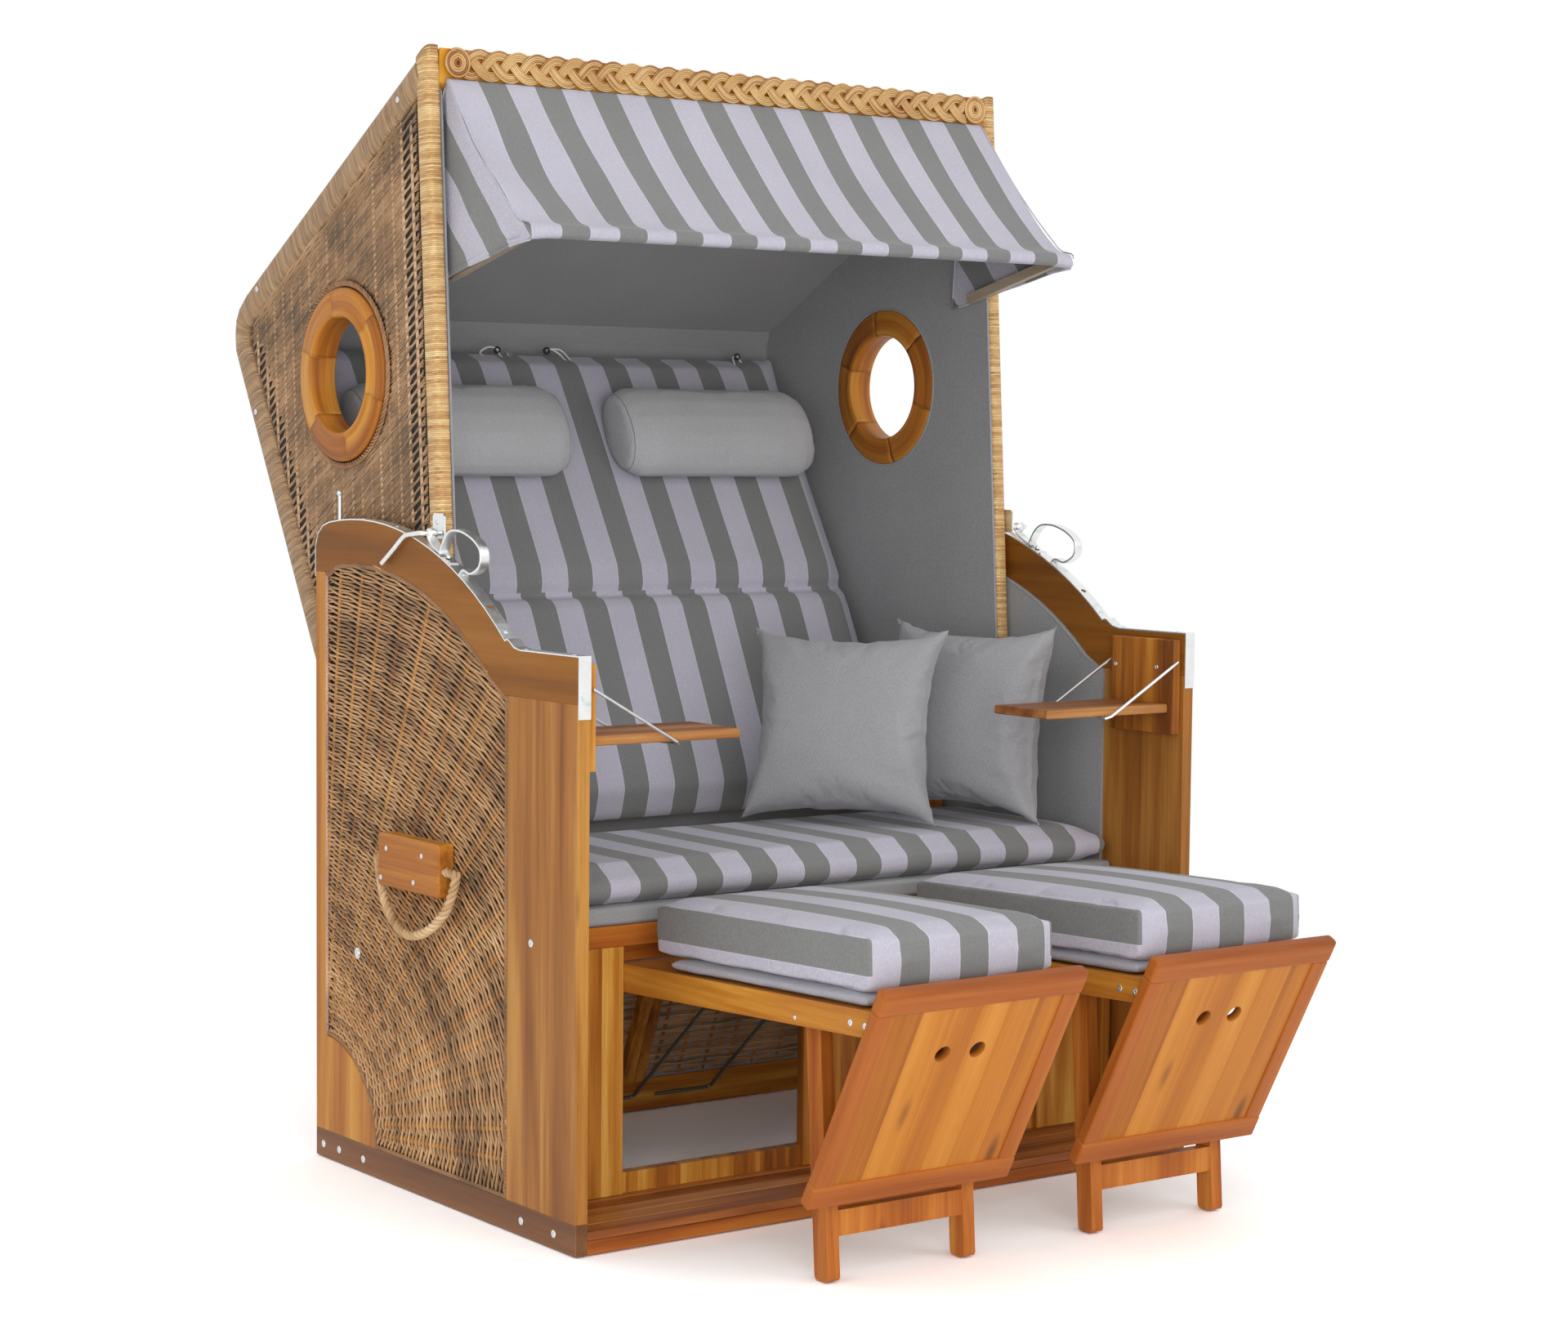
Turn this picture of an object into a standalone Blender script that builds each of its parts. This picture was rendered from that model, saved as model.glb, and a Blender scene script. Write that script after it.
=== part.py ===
"""Hooded beach chair: wooden box seat, wicker sides, reclining hood, awning, tables and footrests.

Metres, +Z up, the chair faces -Y, its left is -X as seen from the front.
Heights are above the floor; depths are counted back from the front face of the box.
"""
import math

import bmesh
import bpy
from mathutils import Matrix, Vector
from mathutils.bvhtree import BVHTree
from mathutils.geometry import tessellate_polygon

# Box
WIDTH = 1.120
DEPTH = 0.745
BOARD_T = 0.019
HALF = WIDTH / 2
INNER = HALF - BOARD_T
BASE_RAIL_H = 0.043
ARM_H = 0.811
ARM_DEPTH = 0.181
GAP = 0.0003
PIVOT = (0.612, 0.330)
ARC_OUT = 0.648
ARC_IN = 0.584
RAIL_REAR_BOTTOM = 0.898
REAR_POST_W = 0.031
CORNER_Y = 0.560
CORNER_Z = 0.190
WICKER_T = 0.017
WICKER_IN = 0.0045
STRIP_T = 0.002
STRIP_FRONT_DROP = 0.083
STRIP_REAR_DROP = 0.045
LATCH_ANGLES = (34.3, 22.7, 11.1, -0.5)
LATCH_NOW = 22.7
LATCH_HOLE_R = 0.0045
STOP_PIN_Y = 0.686
STOP_PIN_R = 0.0025
STOP_HOLE_R = 0.0032
STOP_PIN_UP = 0.043
STOP_PIN_DOWN = 0.016

# Front
PLINTH_D = 0.046
PLINTH_H = 0.0197
DECK_Z0, DECK_Z1 = 0.020, 0.032
DECK_D = 0.176
DECK_GROOVE = 0.0018
FRONT_Y = 0.150
STILE_T = 0.018
STILE_X = 0.386
MID_X = 0.068
SILL_TOP = 0.062
APRON_Z0, APRON_Z1 = 0.3885, 0.4182
BEAM_Z0 = 0.3635
SEAT_T = 0.0255
SEAT_REAR = 0.500
CUSHION_REAR = 0.520
CUSHION_T = 0.050
REAR_RAIL_H = 0.053
REAR_RAIL_T = 0.020
REAR_TOP_Z = 0.288
REAR_LEAN = 0.40

# Hood
HOOD_HALF = 0.5315
HOOD_T = 0.0235
HOOD_IN = HOOD_HALF - HOOD_T
HOOD_TOP = 1.665
POST_TOP_Y = 0.461
POST_LEAN = 0.0650
POST_W = 0.036
POST_BOTTOM = 0.660
ROOF_SLOPE = 0.585
ROOF_BAND = 0.047
REAR_CORNER = (1.0785, 1.236)
REAR_SLOPE = 0.568
REAR_BAND = 0.045
REAR_KNEE = 0.756
LUG_R = 0.030
PORTHOLE = (0.711, 1.195)
PORT_R = 0.0875
PORT_TUBE_R = 0.1005
PORT_FLANGE_R = 0.131
PORT_PROUD = 0.0095

# Footrests
FOOT_X = 0.231
FOOT_HALF = 0.1544
FOOT_RAIL_T = 0.020
PANEL_W = 0.341
PANEL_TOP = (-0.469, 0.4105)
PANEL_BOTTOM = (-0.308, 0.105)
PANEL_T = 0.020
LEG_PIVOT = (-0.2560, 0.350)
LEG_T = 0.020
LEG_D = 0.031
FOOT_SHIFT = 0.060

# Tables
TABLE_Z = 0.703
TABLE_T = 0.0135
TABLE_Y0, TABLE_Y1 = 0.019, 0.143
TABLE_END = 0.281
BRACKET_T = 0.0145
BRACKET_Z0, BRACKET_Z1 = 0.656, 0.802
STAY_R = 0.0022

ORIGIN_Y = PLINTH_D / 2

for old in list(bpy.data.objects):
    bpy.data.objects.remove(old, do_unlink=True)

scene = bpy.context.scene
parts = bpy.data.collections.new("hooded_beach_chair")
cutters = bpy.data.collections.new("cutters")
scene.collection.children.link(parts)
scene.collection.children.link(cutters)

COLOURS = {
    "wood": ((0.42, 0.20, 0.055), 0.0, 0.45),
    "wicker": ((0.36, 0.22, 0.11), 0.0, 0.70),
    "cane": ((0.62, 0.42, 0.20), 0.0, 0.60),
    "stripe": ((0.42, 0.41, 0.44), 0.0, 0.90),
    "grey": ((0.24, 0.24, 0.25), 0.0, 0.90),
    "rope": ((0.50, 0.36, 0.18), 0.0, 0.90),
    "steel": ((0.62, 0.63, 0.64), 1.0, 0.35),
    "dark_steel": ((0.07, 0.09, 0.08), 1.0, 0.50),
    "beech": ((0.45, 0.36, 0.28), 0.0, 0.55),
}


def material(kind, name):
    base, metal, rough = COLOURS[kind]
    made = bpy.data.materials.new(name)
    made.use_nodes = True
    shader = made.node_tree.nodes["Principled BSDF"]
    shader.inputs["Base Color"].default_value = (*base, 1.0)
    shader.inputs["Metallic"].default_value = metal
    shader.inputs["Roughness"].default_value = rough
    return made


def finish(name, kind, bm, smooth=False, cutter=False):
    bmesh.ops.remove_doubles(bm, verts=bm.verts, dist=1e-6)
    bmesh.ops.recalc_face_normals(bm, faces=bm.faces)
    mesh = bpy.data.meshes.new(name)
    bm.to_mesh(mesh)
    bm.free()
    obj = bpy.data.objects.new(name, mesh)
    if cutter:
        cutters.objects.link(obj)
        obj.hide_render = True
        obj.display_type = "WIRE"
        return obj
    parts.objects.link(obj)
    mesh.materials.append(material(kind, name))
    for p in mesh.polygons:
        p.use_smooth = smooth
    return obj


def from_faces(verts, faces):
    bm = bmesh.new()
    made = [bm.verts.new(v) for v in verts]
    for f in faces:
        bm.faces.new([made[i] for i in f])
    return bm


def prism_mesh(outline, x0, x1, holes=()):
    """A (depth, height) outline, with holes, run across the chair from x0 to x1."""
    loops = [list(outline)] + [list(h) for h in holes]
    flat = [p for loop in loops for p in loop]
    caps = tessellate_polygon([[Vector((p[0], p[1], 0.0)) for p in loop] for loop in loops])
    n = len(flat)
    verts = [(x0, *p) for p in flat] + [(x1, *p) for p in flat]
    faces = [tuple(c) for c in caps] + [tuple(i + n for i in reversed(c)) for c in caps]
    start = 0
    for loop in loops:
        m = len(loop)
        for i in range(m):
            a, b = start + i, start + (i + 1) % m
            faces.append((a, b, b + n, a + n))
        start += m
    return from_faces(verts, faces)


def prism(name, kind, outline, x0, x1, holes=(), cutter=False):
    return finish(name, kind, prism_mesh(outline, x0, x1, holes), cutter=cutter)


def box(name, kind, x, y, z, edge=0.0, cutter=False):
    bm = bmesh.new()
    bmesh.ops.create_cube(bm, size=1.0)
    size = Vector((x[1] - x[0], y[1] - y[0], z[1] - z[0]))
    mid = Vector((x[0] + x[1], y[0] + y[1], z[0] + z[1])) / 2
    bmesh.ops.scale(bm, vec=size, verts=bm.verts)
    bmesh.ops.translate(bm, vec=mid, verts=bm.verts)
    if edge:
        bmesh.ops.bevel(bm, geom=bm.edges[:], offset=edge, segments=1, affect="EDGES", profile=0.7)
    return finish(name, kind, bm, cutter=cutter)


def circle(centre, r, n, start=0.0):
    return [(centre[0] + r * math.cos(start + math.tau * i / n),
             centre[1] + r * math.sin(start + math.tau * i / n)) for i in range(n)]


def arc(centre, r, a0, a1, n):
    """Points at angle a (degrees) forward of straight up."""
    out = []
    for i in range(n + 1):
        a = math.radians(a0 + (a1 - a0) * i / n)
        out.append((centre[0] - r * math.sin(a), centre[1] + r * math.cos(a)))
    return out


def offset_line(points, d):
    """An open (depth, height) line moved sideways by d, to its left as it runs."""
    out = []
    for i, p in enumerate(points):
        before = Vector(points[max(i - 1, 0)])
        after = Vector(points[min(i + 1, len(points) - 1)])
        here = Vector(p)
        t0 = (here - before).normalized() if i else (after - here).normalized()
        t1 = (after - here).normalized() if i < len(points) - 1 else t0
        n0, n1 = Vector((-t0.y, t0.x)), Vector((-t1.y, t1.x))
        m = (n0 + n1).normalized()
        out.append(tuple(here + m * (d / max(m.dot(n0), 0.3))))
    return out


def tube_mesh(path, r, sides, closed=False):
    """A round bar along 3-D points, with flat ends."""
    pts = [Vector(p) for p in path]
    n = len(pts)
    verts, faces, normal = [], [], None
    for i, p in enumerate(pts):
        if closed:
            t = (pts[(i + 1) % n] - pts[i - 1]).normalized()
        else:
            t = (pts[min(i + 1, n - 1)] - pts[max(i - 1, 0)]).normalized()
        if normal is None:
            axis = Vector((0, 0, 1)) if abs(t.z) < 0.9 else Vector((1, 0, 0))
            normal = t.cross(axis).normalized()
        normal = (normal - t * normal.dot(t)).normalized()
        side = t.cross(normal)
        for k in range(sides):
            a = math.tau * k / sides
            verts.append(p + (normal * math.cos(a) + side * math.sin(a)) * r)
    spans = n if closed else n - 1
    for i in range(spans):
        j = (i + 1) % n
        for k in range(sides):
            m = (k + 1) % sides
            faces.append((i * sides + k, i * sides + m, j * sides + m, j * sides + k))
    if not closed:
        faces.append(tuple(range(sides)))
        faces.append(tuple((n - 1) * sides + k for k in reversed(range(sides))))
    return from_faces(verts, faces)


def tube(name, kind, path, r, sides=8, closed=False):
    return finish(name, kind, tube_mesh(path, r, sides, closed), smooth=True)


def boolean(obj, other, operation):
    mod = obj.modifiers.new("cut", "BOOLEAN")
    mod.operation = operation
    mod.solver = "EXACT"
    mod.object = other
    bpy.context.view_layer.update()
    graph = bpy.context.evaluated_depsgraph_get()
    made = bpy.data.meshes.new_from_object(obj.evaluated_get(graph))
    made.name = obj.name
    obj.modifiers.clear()
    obj.data = made


def cut(obj, *others):
    for other in others:
        boolean(obj, other, "DIFFERENCE")


def join(obj, *others):
    for other in others:
        boolean(obj, other, "UNION")
        bpy.data.objects.remove(other, do_unlink=True)


def superloop(u, power):
    return 1.0 - abs(u) ** power


def cushion_mesh(size, rise, rim, nx, ny, power=6.0, dip=None, corner=0.0, swell=None):
    """A filled cushion lying flat: crown of height rise over a rim, drawn in at dip lines."""
    lx, ly, t = size
    verts, faces = [], []
    index = {}

    def put(i, j, side):
        u, v = -1 + 2 * i / nx, -1 + 2 * j / ny
        x, y = u * lx / 2, v * ly / 2
        edge = superloop(u, power) * superloop(v, power)
        h = rim * t / 2 + (t / 2 + rise - rim * t / 2) * max(edge, 0.0) ** 0.45
        if dip:
            h *= 1 - sum(depth * math.exp(-(((y - at) / wide) ** 2)) for at, wide, depth in dip)
        pull = corner * (1 - max(edge, 0.0))
        x *= 1 - pull * (1 - v * v)
        y *= 1 - pull * (1 - u * u)
        low = -min(h, t / 2)
        index[i, j, side] = len(verts)
        verts.append((x, y, h if side else low))

    for side in (0, 1):
        for i in range(nx + 1):
            for j in range(ny + 1):
                put(i, j, side)
    for i in range(nx):
        for j in range(ny):
            a = [index[i, j, 1], index[i + 1, j, 1], index[i + 1, j + 1, 1], index[i, j + 1, 1]]
            b = [index[i, j, 0], index[i, j + 1, 0], index[i + 1, j + 1, 0], index[i + 1, j, 0]]
            faces += [a, b]
    ring = ([(i, 0) for i in range(nx)] + [(nx, j) for j in range(ny)]
            + [(i, ny) for i in range(nx, 0, -1)] + [(0, j) for j in range(ny, 0, -1)])
    swell = t * (1 - rim) * 0.22 if swell is None else swell
    mids = []
    for i, j in ring:
        top, low = Vector(verts[index[i, j, 1]]), Vector(verts[index[i, j, 0]])
        mid = (top + low) / 2
        out = Vector(((i == nx) - (i == 0), (j == ny) - (j == 0), 0)).normalized()
        mids.append(len(verts))
        verts.append(tuple(mid + out * swell))
    for k in range(len(ring)):
        m = (k + 1) % len(ring)
        a, b = ring[k], ring[m]
        faces.append((index[(*a, 0)], index[(*b, 0)], mids[m], mids[k]))
        faces.append((mids[k], mids[m], index[(*b, 1)], index[(*a, 1)]))
    return from_faces(verts, faces)


def place(obj, matrix):
    obj.data.transform(matrix)
    obj.data.update()
    return obj


def rz(points_yz, x):
    return [(x, y, z) for y, z in points_yz]


# The box sides

def arm_outline_top():
    flat = [(0.0, ARM_H), (0.150, ARM_H)]
    bend = [(0.166, ARM_H + 0.003), (0.182, ARM_H + 0.013)]
    run = arc(PIVOT, ARC_OUT, 40.6, -8.0, 16)
    corner = [(0.722, 0.966), (0.737, 0.954), (DEPTH, 0.935)]
    return flat + bend + run + corner


def arm_outline_low():
    run = arc(PIVOT, ARC_IN, -6.5, 41.5, 14)
    rear = [(DEPTH, RAIL_REAR_BOTTOM), (0.700, RAIL_REAR_BOTTOM)]
    front = [(0.206, 0.757), (0.190, 0.748), (0.0, 0.748)]
    return rear + run + front


def side(s, word):
    def span(a, b):
        return (min(s * a, s * b), max(s * a, s * b))

    top = arm_outline_top()
    low = arm_outline_low()
    rail = prism(f"top_rail_{word}", "wood", top + low, *span(INNER, HALF))
    pin_hole = finish(f"pin_hole_{word}", "steel", tube_mesh(
        [(s * (HALF - BOARD_T / 2), STOP_PIN_Y, 0.94), (s * (HALF - BOARD_T / 2), STOP_PIN_Y, 1.02)],
        STOP_HOLE_R, 12), cutter=True)
    cut(rail, pin_hole)

    drop = (0.0, ARM_H - STRIP_FRONT_DROP)
    under = [(-GAP, drop[1])] + offset_line(top, GAP) + [(DEPTH + GAP, 0.935 - STRIP_REAR_DROP)]
    under[1] = (-GAP, ARM_H + GAP)
    over = offset_line(under, STRIP_T)
    strip = prism(f"strip_{word}", "steel", under + over[::-1], *span(INNER, HALF))
    holes = []
    for a in LATCH_ANGLES:
        ends = [arc(PIVOT, r, a, a, 1)[0] for r in (ARC_OUT - 0.004, ARC_OUT + 0.008)]
        x = s * (HALF - BOARD_T / 2)
        holes.append(finish(f"strip_hole_{word}_{len(holes)}", "steel",
                            tube_mesh(rz(ends, x), LATCH_HOLE_R, 12), cutter=True))
    cut(strip, pin_hole, *holes)

    board = [(0.0, BASE_RAIL_H + GAP), (ARM_DEPTH, BASE_RAIL_H + GAP), (ARM_DEPTH, 0.748 - GAP),
             (0.0, 0.748 - GAP)]
    prism(f"front_board_{word}", "wood", board, *span(INNER, HALF))

    inner = DEPTH - REAR_POST_W
    swing = [(inner - (inner - CORNER_Y) * math.sin(t) ** 1.0 * 1.0,
              CORNER_Z - (CORNER_Z - BASE_RAIL_H) * (1 - math.cos(t)))
             for t in [math.radians(90 * i / 8) for i in range(9)]]
    frame = ([(0.0, 0.0), (DEPTH, 0.0), (DEPTH, RAIL_REAR_BOTTOM - GAP), (inner, RAIL_REAR_BOTTOM - GAP)]
             + swing + [(0.0, BASE_RAIL_H)])
    prism(f"side_frame_{word}", "wood", frame, *span(INNER, HALF))

    fill = ([(ARM_DEPTH + GAP, BASE_RAIL_H + GAP)]
            + [(y - GAP * 2, z + GAP * 1.5) for y, z in reversed(swing)]
            + [(inner - GAP * 2, RAIL_REAR_BOTTOM - GAP)]
            + [(0.700, RAIL_REAR_BOTTOM - GAP)] + arc(PIVOT, ARC_IN - GAP, -6.5, 41.5, 14)
            + [(0.206, 0.757 - GAP), (0.1905, 0.748 - GAP), (ARM_DEPTH + GAP, 0.748 - GAP)])
    prism(f"side_wicker_{word}", "wicker", fill, *span(INNER - WICKER_IN, HALF - 0.002))

    pin = [(0.0, 0.0)]
    x, y = s * (HALF - BOARD_T / 2), STOP_PIN_Y
    z0 = PIVOT[1] + math.sqrt(ARC_OUT ** 2 - (y - PIVOT[0]) ** 2)
    pin = tube_mesh([(x, y, z0 - STOP_PIN_DOWN), (x, y, z0 + STOP_PIN_UP)], STOP_PIN_R, 10)
    ball = bmesh.new()
    bmesh.ops.create_uvsphere(ball, u_segments=12, v_segments=8, radius=0.0046,
                              matrix=Matrix.Translation((x, y, z0 + STOP_PIN_UP)))
    stop = finish(f"stop_pin_{word}", "steel", pin, smooth=True)
    knob = finish(f"stop_ball_{word}", "steel", ball, smooth=True)
    join(stop, knob)

    block = box(f"carry_block_{word}", "wood", span(HALF - 0.002 + GAP, HALF + 0.026), (0.327, 0.504),
                (0.449, 0.526), edge=0.003)
    rope_x, rope_z, rope_r = s * (HALF + 0.0130), 0.486, 0.0066
    bore = finish(f"rope_bore_{word}", "wood", tube_mesh(
        [(rope_x, 0.300, rope_z), (rope_x, 0.530, rope_z)], 0.0071, 16), cutter=True)
    cut(block, bore)
    loop = []
    low_y, low_z, left, right = 0.425, 0.386, 0.523, 0.300
    loop.append((rope_x, 0.322, rope_z))
    loop.append((rope_x, 0.510, rope_z))
    hang = 14
    for i in range(hang + 1):
        t = i / hang
        y = left + (right - left) * t
        drop_t = math.sin(math.pi * t) ** 0.55
        loop.append((rope_x + s * 0.012 * math.sin(math.pi * t), y,
                     rope_z - 0.006 - (rope_z - 0.006 - low_z) * drop_t))
    tube(f"carry_rope_{word}", "rope", loop, rope_r, 8, closed=True)


for s, word in ((-1, "left"), (1, "right")):
    side(s, word)

# The front and the seat

across = INNER - WICKER_IN - GAP
box("plinth", "wood", (-INNER + GAP, INNER - GAP), (0.0, PLINTH_D), (0.0, PLINTH_H), edge=0.0015)

deck_outline = [(0.0, DECK_Z0), (DECK_D, DECK_Z0), (DECK_D, DECK_Z1)]
for k in (3, 2, 1):
    at = k * DECK_D / 4 + 0.002
    if k < 3:
        deck_outline += [(at + DECK_GROOVE, DECK_Z1), (at + DECK_GROOVE, DECK_Z1 - 0.006),
                         (at, DECK_Z1 - 0.006), (at, DECK_Z1)]
deck_outline += [(0.0, DECK_Z1)]
prism("deck", "wood", deck_outline, -INNER + GAP, INNER - GAP)

stile_z = (DECK_Z1 + GAP, APRON_Z0 - GAP)
mid = box("front_frame", "wood", (-MID_X, MID_X), (FRONT_Y, FRONT_Y + STILE_T), stile_z, edge=0.0012)
sill = box("sill", "wood", (-across + 0.004, across - 0.004),
           (FRONT_Y + STILE_T - 0.010, FRONT_Y + STILE_T + 0.010), (DECK_Z1 + GAP, SILL_TOP))
join(mid, sill)
for s in (-1, 1):
    join(mid, box(f"stile_{s}", "wood", tuple(sorted((s * STILE_X, s * across))),
                  (FRONT_Y, FRONT_Y + STILE_T), stile_z, edge=0.0012))

beam_outline = [(FRONT_Y, APRON_Z0), (FRONT_Y + 0.020, APRON_Z0), (FRONT_Y + 0.020, BEAM_Z0),
                (FRONT_Y + 0.042, BEAM_Z0), (FRONT_Y + 0.042, APRON_Z1), (FRONT_Y, APRON_Z1)]
prism("apron", "wood", beam_outline, -across, across)

seat_z0 = APRON_Z1 + GAP
seat_z1 = seat_z0 + SEAT_T
box("seat_board", "grey", (-across, across), (FRONT_Y + 0.003, SEAT_REAR), (seat_z0, seat_z1), edge=0.004)

seat_l = CUSHION_REAR - FRONT_Y - 0.001
seat = finish("seat_cushion", "stripe", cushion_mesh(
    (2 * across - 0.012, seat_l, CUSHION_T), 0.006, 0.55, 22, 10, power=8.0), smooth=True)
place(seat, Matrix.Translation((0, CUSHION_REAR - seat_l / 2, seat_z1 + GAP + CUSHION_T / 2)))

rear_rail = box("rear_rail", "wood", (-INNER + GAP, INNER - GAP), (DEPTH - REAR_RAIL_T, DEPTH),
                (0.0, REAR_RAIL_H), edge=0.0012)
foot_y = DEPTH - REAR_RAIL_T + 0.004


def lean(y, z):
    return (y - (z - REAR_RAIL_H) * REAR_LEAN, z)


rear = [lean(foot_y, REAR_RAIL_H + GAP), lean(foot_y + 0.011, REAR_RAIL_H + GAP),
        lean(foot_y + 0.011, REAR_TOP_Z), lean(foot_y, REAR_TOP_Z)]
prism("rear_wicker", "wicker", rear, -across, across)
post = [lean(foot_y - 0.018, REAR_RAIL_H + GAP), lean(foot_y - GAP, REAR_RAIL_H + GAP),
        lean(foot_y - GAP, REAR_TOP_Z - 0.026), lean(foot_y - 0.018, REAR_TOP_Z - 0.026)]
rear_post = prism("rear_frame", "wood", post, -0.021, 0.021)
top = [lean(foot_y - 0.018, REAR_TOP_Z - 0.030), lean(foot_y - GAP, REAR_TOP_Z - 0.030),
       lean(foot_y - GAP, REAR_TOP_Z), lean(foot_y - 0.018, REAR_TOP_Z)]
rear_top = prism("rear_top", "wood", top, -across, across)
join(rear_post, rear_top)

# Steel brace under the seat, hooked into clips on the rear rail
BRACE_R = 0.0030
brace_y, brace_z = DEPTH - REAR_RAIL_T - BRACE_R - GAP, 0.026
brace = [(-0.060, brace_y, brace_z), (0.002, brace_y, brace_z), (0.007, brace_y - 0.004, brace_z + 0.003),
         (0.007, 0.309, 0.3895), (0.012, 0.306, 0.392), (0.155, 0.306, 0.392), (0.160, 0.309, 0.3895),
         (0.160, brace_y - 0.004, brace_z + 0.003), (0.155, brace_y, brace_z), (0.052, brace_y, brace_z)]
tube("seat_brace", "dark_steel", brace, BRACE_R, 8)

# The hood frame and its fill
BAR_AT = (0.408, 0.965)
PLATE_T = 0.0022


def post_y(z):
    return POST_TOP_Y - (HOOD_TOP - z) * POST_LEAN


def roof_z(y):
    return HOOD_TOP - (y - POST_TOP_Y) * ROOF_SLOPE


def rear_y(z):
    if z < REAR_KNEE:
        return rear_y(REAR_KNEE) - (REAR_KNEE - z) * 0.396
    return REAR_CORNER[0] - (REAR_CORNER[1] - z) * REAR_SLOPE


corner_out = [(1.052, roof_z(1.052)), (1.066, 1.309), (1.077, 1.290), (1.081, 1.263), REAR_CORNER]
hood_out = ([(post_y(POST_BOTTOM), POST_BOTTOM), (POST_TOP_Y - 0.0005, HOOD_TOP - 0.002),
             (POST_TOP_Y + 0.003, HOOD_TOP - 0.001)]
            + corner_out + [(rear_y(REAR_KNEE), REAR_KNEE), (0.655, 0.375)]
            + [(PIVOT[0] + LUG_R * math.cos(math.radians(a)), PIVOT[1] + LUG_R * math.sin(math.radians(a)))
               for a in range(20, -201, -20)]
            + [(0.568, 0.560)])
band = ROOF_BAND * 1.16
hood_in = [(post_y(0.69) + POST_W, 0.694), (0.497, roof_z(0.497) - band),
           (1.020, roof_z(1.020) - band), (1.030, 1.252), (rear_y(REAR_KNEE) - REAR_BAND, REAR_KNEE),
           (rear_y(0.62) - REAR_BAND, 0.62), (0.610, 0.592)]
ring_points = circle(PORTHOLE, PORT_TUBE_R, 32)
ring_loose = circle(PORTHOLE, PORT_TUBE_R + GAP, 32)


def hood_side(s, word):
    def span(a, b):
        return (min(s * a, s * b), max(s * a, s * b))

    frame = prism(f"hood_frame_{word}", "cane", hood_out, *span(HOOD_IN, HOOD_HALF), holes=[hood_in])
    pin_x = span(HOOD_HALF - 0.004, INNER - WICKER_IN - 0.0004)
    pivot = finish(f"pivot_{word}", "steel", tube_mesh(
        [(pin_x[0], *PIVOT), (pin_x[1], *PIVOT)], 0.012, 16))
    plate = box(f"latch_plate_{word}", "steel", span(HOOD_HALF - 0.0005, HOOD_HALF + PLATE_T),
                (BAR_AT[0] - 0.006, BAR_AT[0] + 0.027), (BAR_AT[1] - 0.009, BAR_AT[1] + 0.028))
    join(frame, pivot, plate)
    shrink = offset_line(hood_in + hood_in[:2], -GAP)[1:-1]
    prism(f"hood_wicker_{word}", "wicker", shrink, *span(HOOD_IN + 0.0005, HOOD_HALF - 0.003),
          holes=[ring_loose])
    profile = [(PORT_R, HOOD_IN - PORT_PROUD), (PORT_R, HOOD_HALF + PORT_PROUD * 0.8),
               (PORT_R + 0.006, HOOD_HALF + PORT_PROUD), (PORT_FLANGE_R - 0.012, HOOD_HALF + PORT_PROUD),
               (PORT_FLANGE_R, HOOD_HALF + PORT_PROUD * 0.5), (PORT_FLANGE_R, HOOD_HALF - 0.003 + GAP),
               (PORT_TUBE_R, HOOD_HALF - 0.003 + GAP), (PORT_TUBE_R, HOOD_IN + 0.0005 - GAP),
               (PORT_FLANGE_R, HOOD_IN + 0.0005 - GAP), (PORT_FLANGE_R, HOOD_IN - PORT_PROUD * 0.5),
               (PORT_FLANGE_R - 0.012, HOOD_IN - PORT_PROUD)]
    n, m = 32, len(profile)
    verts = [(s * x, PORTHOLE[0] + r * math.cos(math.tau * k / n), PORTHOLE[1] + r * math.sin(math.tau * k / n))
             for k in range(n) for r, x in profile]
    faces = [(k * m + i, k * m + (i + 1) % m, ((k + 1) % n) * m + (i + 1) % m, ((k + 1) % n) * m + i)
             for k in range(n) for i in range(m)]
    finish(f"porthole_ring_{word}", "wood", from_faces(verts, faces))


for s, word in ((-1, "left"), (1, "right")):
    hood_side(s, word)

shell_x = HOOD_IN - GAP
rail_y0, rail_y1 = POST_TOP_Y + 0.003, POST_TOP_Y + 0.030
shell_y = rail_y1 + 0.0006
shell_low = 0.42
shell_out = [(shell_y, roof_z(shell_y) - 0.001), (1.051, roof_z(1.051) - 0.001), (1.065, 1.3075),
             (1.0755, 1.289), (1.0795, 1.2625), (REAR_CORNER[0] - 0.001, REAR_CORNER[1]),
             (rear_y(REAR_KNEE) - 0.001, REAR_KNEE), (rear_y(shell_low) - 0.001, shell_low)]
shell_in = [(rear_y(shell_low) - 0.020, shell_low), (rear_y(REAR_KNEE) - 0.022, REAR_KNEE),
            (1.0555, 1.244), (1.0573, 1.265), (1.0483, 1.2958), (1.029, 1.3051), (shell_y, 1.598)]
prism("hood_shell", "wicker", shell_out + shell_in, -shell_x, shell_x)

rail_outline = [(rail_y0, 1.612), (rail_y1, 1.598), (rail_y1, roof_z(rail_y1) - 0.001),
                (rail_y0, roof_z(rail_y0) - 0.001)]
prism("hood_front_rail", "wood", rail_outline, -HOOD_IN + GAP, HOOD_IN - GAP)
braid_profile = []
for i in range(10):
    a = math.tau * i / 10
    braid_profile.append((rail_y0 - 0.0076 - GAP + 0.0076 * math.cos(a), 1.6395 + 0.0205 * math.sin(a)))
prism("braid", "cane", braid_profile, -HOOD_IN + 0.003, HOOD_IN - 0.003)

# The back cushion and headrests

back = [(0.999, 1.250), (0.770, 0.861), (0.602, 0.508)]
BACK_T = 0.0528
BACK_HALF = 0.485


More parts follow.
